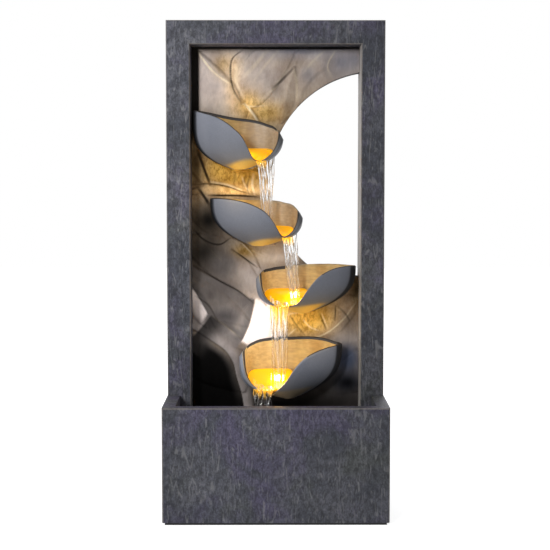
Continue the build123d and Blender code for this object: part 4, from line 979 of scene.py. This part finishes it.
def carved_sheet(low, high, edge_of, width):
    """Grid between two heights with its right side on a given edge, carved, with a rim and a back."""
    bm = bmesh.new()
    bmesh.ops.create_grid(bm, x_segments=int(width / CELL), y_segments=int((high - low) / CELL), size=0.5)
    spots = []
    for vert in bm.verts:
        z = low + (vert.co.y + 0.5) * (high - low)
        spots.append((-PANEL_HALF + (vert.co.x + 0.5) * (edge_of(z) + PANEL_HALF), z))
    spots = np.array(spots)
    height, rubbed_highlight, cut_shade = carve(spots)
    light, gold_and_lamp_light, shade = paint(spots)
    for pad_x, pad_low in PADS:
        away = np.abs(spots - (pad_x, pad_low + PAD_RISE))
        height = np.where((away < PAD_HALF).all(1), PAD_HEIGHT, height)
    height = height * (1 - shade) + LOWEST * shade
    masks = bm.verts.layers.float_color.new("carving")
    tone = bm.verts.layers.float.new("lightness")
    for vert, (x, z), up, a, b, c, d in zip(bm.verts, spots, height, rubbed_highlight, cut_shade, gold_and_lamp_light, light):
        vert.co = Vector((x, PANEL_FACE_Y - up, z)) * MM
        vert[masks] = (a, b, c + 0.5, 1)
        vert[tone] = d
    for edge in close_sheet(bm, 1, SHEET_BACK):
        edge.smooth = False
    return bm


def tray():
    """Backing tray with a wall round panel and window."""
    start = math.asin((SILL_Z - WINDOW_Z) / WINDOW_R)
    stop = math.asin(math.sqrt(WINDOW_R**2 - (WINDOW_X - PANEL_HALF)**2) / WINDOW_R)
    arc = [start + (stop - start) * i / WINDOW_STEPS for i in range(WINDOW_STEPS + 1)]
    outline = [(-PANEL_HALF, PANEL_LOW), (PANEL_HALF, PANEL_LOW), (PANEL_HALF, SILL_Z)]
    outline += [(WINDOW_X - WINDOW_R * math.cos(a), WINDOW_Z + WINDOW_R * math.sin(a)) for a in arc]
    outline += [(PANEL_HALF, PANEL_HIGH), (-PANEL_HALF, PANEL_HIGH)]
    bm = bmesh.new()
    face = bm.faces.new([bm.verts.new(Vector((x, TRAY_FRONT, z)) * MM) for x, z in outline])
    made = bmesh.ops.extrude_face_region(bm, geom=[face])["geom"]
    lid = [g for g in made if isinstance(g, bmesh.types.BMFace)]
    bmesh.ops.translate(bm, vec=Vector((0, TRAY_BACK - TRAY_FRONT, 0)) * MM, verts=lid[0].verts)
    bmesh.ops.recalc_face_normals(bm, faces=bm.faces)
    bmesh.ops.inset_region(bm, faces=lid, thickness=TRAY_WALL * MM, use_even_offset=True)
    made = bmesh.ops.extrude_face_region(bm, geom=lid)["geom"]
    bmesh.ops.delete(bm, geom=lid, context="FACES_ONLY")
    deep = [g for g in made if isinstance(g, bmesh.types.BMVert)]
    bmesh.ops.translate(bm, vec=Vector((0, TRAY_FLOOR - TRAY_BACK, 0)) * MM, verts=deep)
    bmesh.ops.recalc_face_normals(bm, faces=bm.faces)
    return bm


panel = join(carved_sheet(PANEL_LOW, SILL_Z, lambda z: PANEL_HALF, 2 * PANEL_HALF),
             carved_sheet(SILL_Z, PANEL_HIGH, right_edge, 1.6 * PANEL_HALF), tray())
print("panel points", len(panel.verts))

# %% [markdown]
# ## Rubbed metal finish of the panel
# The carving is painted like old pewter and bronze, with light and shade painted in: gold where the leaves
# catch the lamps, partly bronze paint and partly painted lamp light, silver grey on the smooth blades,
# bright along some edges with rubbed wear and a painted highlight, and almost black as painted shade in the
# cuts and towards the foot. The masks of the carving and the washes steer that, and streaked noise breaks it
# up.

# %% Panel finish and piece
def carved_finish():
    """Pewter and bronze paint led by the carving's masks, with painted light and shade."""
    finish, shader, where = start_finish("relief bronze")
    masks = add_node(shader.id_data, "SeparateColor", {"Color": painted(shader, "carving", "Color")})
    rubbed_highlight, cut_shade, gold_and_lamp_light = (masks[label] for label in ("Red", "Green", "Blue"))
    streaks = noise(stretch(where, (1.0, 1.0, 0.4), (0, 0.7, 0)), 120.0, 5.0, 0.6, 0.6)
    clouds = fit(noise(where, 28.0, 4.0, 0.55), 0.3, 0.7)
    grit = noise(stretch(where, (1.0, 1.0, 0.45)), 420.0, 5.0, 0.7)
    patches = noise(stretch(where, (1.0, 1.0, 0.6), (0, 0.3, 0)), 190.0, 5.0, 0.7, 0.4)
    pewter = blend(clouds, (0.36, 0.318, 0.312), (0.47, 0.424, 0.414))
    bronze = blend(clouds, (0.44, 0.25, 0.040), (0.66, 0.42, 0.10))
    # gold share: bronze paint, with painted lamp light where the lamps shine on the leaves
    warmth = fit(gold_and_lamp_light, 0.45, 1.5)
    colour = blend(warmth, blend(fit(gold_and_lamp_light, 0.0, 0.5), (0.18, 0.22, 0.345), pewter), bronze)
    colour = shaded(colour, fit(streaks, 0.25, 0.75, 0.88, 1.10))
    rough_gold = times(warmth, fit(patches, 0.36, 0.58, 1.0, 0.0))
    colour = blend(times(rough_gold, 0.70), colour, (0.17, 0.080, 0.012))
    # rubbed wear and a painted highlight along the bright ridges
    colour = blend(times(rubbed_highlight, fit(streaks, 0.3, 0.6, 0.5, 0.9)), colour, (0.80, 0.68, 0.48))
    # painted light and shade of the washes and creases
    colour = shaded(colour, painted(shader, "lightness"))
    # painted shade: the cuts are painted almost black
    colour = blend(times(cut_shade, 0.97), colour, (0.012, 0.009, 0.007))
    bumps = combine("ADD", combine("ADD", times(streaks, 0.5), times(grit, 0.6)), times(patches, 0.5))
    fill(shader, {"Base Color": colour, "Roughness": fit(streaks, 0.3, 0.7, 0.42, 0.58), "Metallic": 0.1,
                  "Specular IOR Level": 0.04, "Normal": bump(bumps, 0.22, 0.0008)})
    return finish


FINISHES["relief_bronze"] = carved_finish()
make_piece("carved_panel", panel, [FINISHES["relief_bronze"]], nodes=["relief_panel"])

# %% [markdown]
# ## Pools in the cups
# Water runs down the sloping floor of each cup to its lip, and the lamp under it turns it amber. The pool
# is again a folded tube: its edge lies on the lining, and its rings run inwards over a surface that rises
# from the lip to the back. Its own glow stands for the light that the water scatters: white-hot beside the
# front petal, deep yellow towards the round end.

# %% Pools
POOL_SIDES, POOL_RINGS = 96, 10
POOL_RISE, POOL_DEPTH, POOL_SEAM = 1.5, 3.0, 0.6
POOL_START, POOL_BOW, POOL_MIDDLE, POOL_MIDDLE_Y = 0.46, 0.016, 0.68, -38
HOT_BACK, HOT_Y, HOT_REACH = 7, -34, 30
# how far each pool rises from the lip to the back, and how hot its brightest spot is
POOLS = {"cup_1": (21.0, 0.80), "cup_2": (17.0, 1.05), "cup_3": (24.0, 1.70), "cup_4": (27.0, 1.15)}
for name, cup in CUPS.items():
    cup["slope"], cup["heat"] = POOLS[name]


def pool_finish():
    """Lit amber water."""
    finish, shader, where = start_finish("lit water")
    ripples = noise(where, 160.0, 2.0, 0.5, 0.8)
    heat = combine("ADD", painted(shader, "heat"), combine("SUBTRACT", times(ripples, 0.5), 0.25))
    colour = blend(fit(heat, 0.05, 0.45), (0.78, 0.37, 0.003), (0.95, 0.58, 0.012))
    colour = blend(fit(heat, 0.40, 0.70), colour, (1.0, 0.80, 0.12))
    colour = blend(fit(heat, 0.70, 1.00), colour, (1.0, 0.97, 0.80))
    fill(shader, {"Base Color": colour, "Emission Color": colour, "Emission Strength": 0.60,
                  "Roughness": 0.12, "Normal": bump(ripples, 0.3, 0.001)})
    return finish


def pool_level(cup, y):
    """Level of the running water over a place, rising from the lip to the back."""
    return POOL_RISE - cup["lip"] + cup["slope"] * float(ease(-y, 58.0, 12.0))


def water_edge(cup, turn, sink, inset):
    """Place where the water meets the lining, or a little below that."""
    level = POOL_RISE - cup["lip"]
    for _ in range(6):
        x, y = teardrop(cup, turn, level - sink, wall_inset(turn) + inset)
        level = pool_level(cup, y)
    start = POOL_START * cup["length"] + POOL_BOW * (y - POOL_MIDDLE_Y)**2
    return cup_point(cup, max(x, start), y, level - sink)


def make_pool(name, cup):
    """Water in one cup: the first ring lies below the edge, the others run inwards over the surface."""
    bm, ends = tube(POOL_SIDES, POOL_RINGS)
    heat = bm.verts.layers.float.new("heat")
    middle = cup_point(cup, POOL_MIDDLE * cup["length"], POOL_MIDDLE_Y, 0)
    hot = cup_point(cup, cup["petal"] - HOT_BACK, HOT_Y, 0)
    for vert in bm.verts:
        turn, ring = turn_of(vert.co), round((vert.co.z + 0.5) * POOL_RINGS)
        if ring == 0:
            vert.co = water_edge(cup, turn, POOL_DEPTH, POOL_SEAM)
        else:
            vert.co = water_edge(cup, turn, 0.0, -POOL_SEAM).lerp(middle, (ring - 1) / POOL_RINGS)
            vert.co.z = (cup["tip"][1] + pool_level(cup, vert.co.y / MM - CUP_BACK_Y)) * MM
        away = vert.co - hot
        near = math.exp(-(Vector((away.x, 0.8 * away.y, 0)).length / (HOT_REACH * MM))**2)
        vert[heat] = cup["heat"] * near
    for edges in ends:
        bmesh.ops.edgeloop_fill(bm, edges=edges)
    bmesh.ops.recalc_face_normals(bm, faces=bm.faces)
    return make_piece(name + "_pool", bm, [lit_water])


lit_water = pool_finish()
for name, cup in CUPS.items():
    make_pool(name, cup)

# %% [markdown]
# ## Falling water
# From every lip several strands of water fall into the next cup, and from the lowest into the basin. Fluid
# simulation would take minutes and differ from run to run. Each strand is a closed tube that runs over the
# lip and down a falling curve, swelling and thinning on its way, so light bends through it as through
# water.

# %% Falling water
# share of the cup's length at the lip, width at the top and bottom, level where it lands, sideways drift,
# reach outwards, up to which strand and how far down the water is amber
FALLS = {
    "cup_1": dict(along=0.80, wide=27, narrow=15, to_level=446, drift=5, out=-1, lit=-0.1, amber=9),
    "cup_2": dict(along=0.855, wide=22, narrow=16, to_level=331, drift=11, out=-5, lit=0.4, amber=10),
    "cup_3": dict(along=0.77, wide=28, narrow=22, to_level=196, drift=1, out=-5, lit=1.5, amber=26),
    "cup_4": dict(along=0.77, wide=30, narrow=26, to_level=148, drift=2, out=3, lit=1.5, amber=10),
}
# place of each strand across the fall, and its radius
STRANDS = [(-1.0, 1.5), (-0.74, 2.4), (-0.55, 1.3), (-0.22, 2.9), (0.02, 1.4), (0.30, 2.6), (0.58, 1.4),
           (0.78, 2.1), (1.0, 1.2)]
STRAND_SIDES, STRAND_RINGS, STRAND_DEPTH, LIP_SHARE = 12, 80, 1.2, 0.14


def clear_water_finish():
    """Clear water with fine ripples along the fall, amber where it leaves the lamp's light."""
    finish, shader, where = start_finish("clear water")
    ripples = noise(stretch(where, (1.0, 1.0, 0.12)), 420.0, 3.0, 0.6)
    lit = painted(shader, "lit")
    fill(shader, {"Base Color": blend(lit, WHITE, (1.0, 0.72, 0.14)), "Transmission Weight": 1.0, "IOR": 1.33,
                  "Emission Color": blend(lit, BLACK, (1.0, 0.52, 0.04)), "Emission Strength": 0.34,
                  "Roughness": fit(ripples, 0.3, 0.7, 0.0, 0.08), "Normal": bump(ripples, 0.4, 0.0012)})
    return finish


def strand_line(cup, fall, number):
    """Centres of one strand, from the pool over the lip and down."""
    lip_level = POOL_RISE - cup["lip"]
    wall = [teardrop(cup, turn, lip_level, 0) for turn in np.linspace(0.4, 0.94, 40)]
    middle = fall["along"] * cup["length"]
    across = STRANDS[number][0]
    lip_y = float(np.interp(middle + across * fall["wide"] / 2, [x for x, y in wall], [-y for x, y in wall]))
    land = cup["tip"][1] + lip_level - fall["to_level"]
    line = []
    for ring in range(STRAND_RINGS + 1):
        over = min(ring / STRAND_RINGS / LIP_SHARE, 1.0)
        drop = max((ring / STRAND_RINGS - LIP_SHARE) / (1 - LIP_SHARE), 0.0)
        width = fall["wide"] + (fall["narrow"] - fall["wide"]) * min(drop * 1.5, 1)**0.8
        sway = 1.5 * math.sin(8 * drop + 2.4 * number) * min(3 * drop, 1)
        x = middle + across * width / 2 + fall["drift"] * drop**1.3 + sway
        y = -(lip_y - 16 + 15 * over + fall["out"] * drop + 1.6 * math.cos(2.1 * number + 6 * drop))
        start = pool_level(cup, y) if over < 1 else lip_level
        line.append((x, y, start + 0.4 - 1.5 * over**2 - land * (0.06 * drop + 0.94 * drop**1.25)))
    return line


def make_fall(name, cup, fall):
    """Strands of water from one lip."""
    strands = []
    for number, (across, radius) in enumerate(STRANDS):
        line = strand_line(cup, fall, number)
        bm, _ = tube(STRAND_SIDES, STRAND_RINGS, caps=True)
        lit = bm.verts.layers.float.new("lit")
        for vert in bm.verts:
            down = 0.5 - vert.co.z
            x, y, z = line[round(down * STRAND_RINGS)]
            drop = ease(-cup["lip"] - z, 1.0, fall["amber"] * (1.0 + 0.6 * math.sin(2.7 * number)))
            vert[lit] = float((1 - drop) * (1 - ease(across, fall["lit"] - 0.4, fall["lit"] + 0.4)))
            swell = (1 + 0.35 * math.sin(19 * down + 1.7 * number)) * (1 - 0.3 * down)
            x += vert.co.x * radius * swell
            flow = vert.co.y * STRAND_DEPTH * swell
            level = down < LIP_SHARE
            vert.co = cup_point(cup, x, y - (0 if level else flow), z + (flow if level else 0))
        bmesh.ops.recalc_face_normals(bm, faces=bm.faces)
        strands.append(bm)
    return make_piece(name + "_fall", join(*strands), [clear_water])


clear_water = clear_water_finish()
for name, cup in CUPS.items():
    make_fall(name, cup, FALLS[name])

# %% [markdown]
# ## Water in the basin
# The pump stands in the basin's water. Its surface is one grid with rings of ripples round the place where
# the last fall lands, closed to a thin body.

# %% Basin water
BASIN_LEVEL, BASIN_WATER_DEPTH = 148.0, 6.0
TUB = (-154.6, -79.6, 154.6, 23.5)
TUB_CELLS = (150, 52)
WAVE_HEIGHT, WAVE_LENGTH, WAVE_REACH = 1.4, 3.2, 38.0
SPLASH_SHARE, SPLASH_Y = 0.75, -68


def basin_water_finish():
    """Dark clear water."""
    finish, shader, where = start_finish("basin water")
    ripples = noise(where, 60.0, 2.0, 0.5, 0.4)
    fill(shader, {"Base Color": blend(ripples, (0.020, 0.024, 0.028), (0.035, 0.040, 0.045)), "IOR": 1.33,
                  "Roughness": fit(ripples, 0.3, 0.7, 0.02, 0.07), "Normal": bump(ripples, 0.25, 0.002)})
    return finish


x0, y0, x1, y1 = TUB
splash = cup_point(CUPS["cup_4"], SPLASH_SHARE * CUPS["cup_4"]["length"], SPLASH_Y, 0)
bm = bmesh.new()
bmesh.ops.create_grid(bm, x_segments=TUB_CELLS[0], y_segments=TUB_CELLS[1], size=0.5)
for vert in bm.verts:
    x = x0 + (vert.co.x + 0.5) * (x1 - x0)
    y = y0 + (vert.co.y + 0.5) * (y1 - y0)
    far = math.hypot(x - splash.x / MM, y - splash.y / MM)
    wave = WAVE_HEIGHT * math.cos(far / WAVE_LENGTH) * math.exp(-far / WAVE_REACH)
    vert.co = Vector((x, y, BASIN_LEVEL + wave)) * MM
close_sheet(bm, 2, BASIN_LEVEL - BASIN_WATER_DEPTH)
make_piece("basin_water", bm, [basin_water_finish()])

# %% [markdown]
# ## Lamps
# Under the water of each cup shines a warm lamp. Its lens glows, and a small point light just over it
# carries that light to the lining, the panel and the underside of the cup above. A few weaker lights stand
# for what the falling water throws on panel and cups.

# %% Lamp lenses and their light
WARM, PALE = (1.0, 0.70, 0.28), (1.0, 0.97, 0.93)
LAMP_WATTS = {"cup_1": 0.021, "cup_2": 0.026, "cup_3": 0.050, "cup_4": 0.044}
LAMP_SHARE, LAMP_Y, LAMP_OVER, LAMP_SIZE, SPILL_SIZE = 0.62, -44, 16, 0.006, 0.03
# place, watts and colour
SPILLS = [((-64, 2, 512), 0.105, WARM), ((-24, 2, 404), 0.045, WARM), ((58, 2, 292), 0.085, WARM),
          ((-30, 22, 284), 0.145, PALE), ((-6, -30, 184), 0.012, WARM)]


def lens_finish():
    """Frosted lens, lit from inside."""
    finish, shader, where = start_finish("lamp lens")
    frost = noise(where, 500.0, 3.0)
    colour = blend(frost, (1.0, 0.60, 0.18), (1.0, 0.80, 0.42))
    fill(shader, {"Base Color": colour, "Emission Color": colour, "Emission Strength": 3.0,
                  "Roughness": fit(frost, 0.3, 0.7, 0.25, 0.45)})
    return finish


FINISHES["lamp_lens"] = lens_finish()
for name, cup in CUPS.items():
    spot = cup_point(cup, LAMP_SHARE * cup["length"], LAMP_Y, POOL_RISE - cup["lip"] + LAMP_OVER)
    add_light(name + " lamp", "POINT", spot, LAMP_WATTS[name], color=WARM, shadow_soft_size=LAMP_SIZE)
for number, (spot, watts, tint) in enumerate(SPILLS):
    lamp = add_light(f"spill {number}", "POINT", Vector(spot) * MM, watts, color=tint,
                     shadow_soft_size=SPILL_SIZE)
    lamp.visible_glossy = False
    lamp.visible_transmission = False
print("lamps", len(CUPS), "spills", len(SPILLS))

# %% [markdown]
# ## Finishes on the CAD nodes
# The remaining CAD nodes have the right shape already. Each takes the finish of its material slot in the
# record.

# %% Finishes by slot
for part in frame["record"]["subparts"]:
    node = frame["nodes"][part["node"]]
    node.data.materials.clear()
    node.data.materials.append(FINISHES[part["material_slot"]])
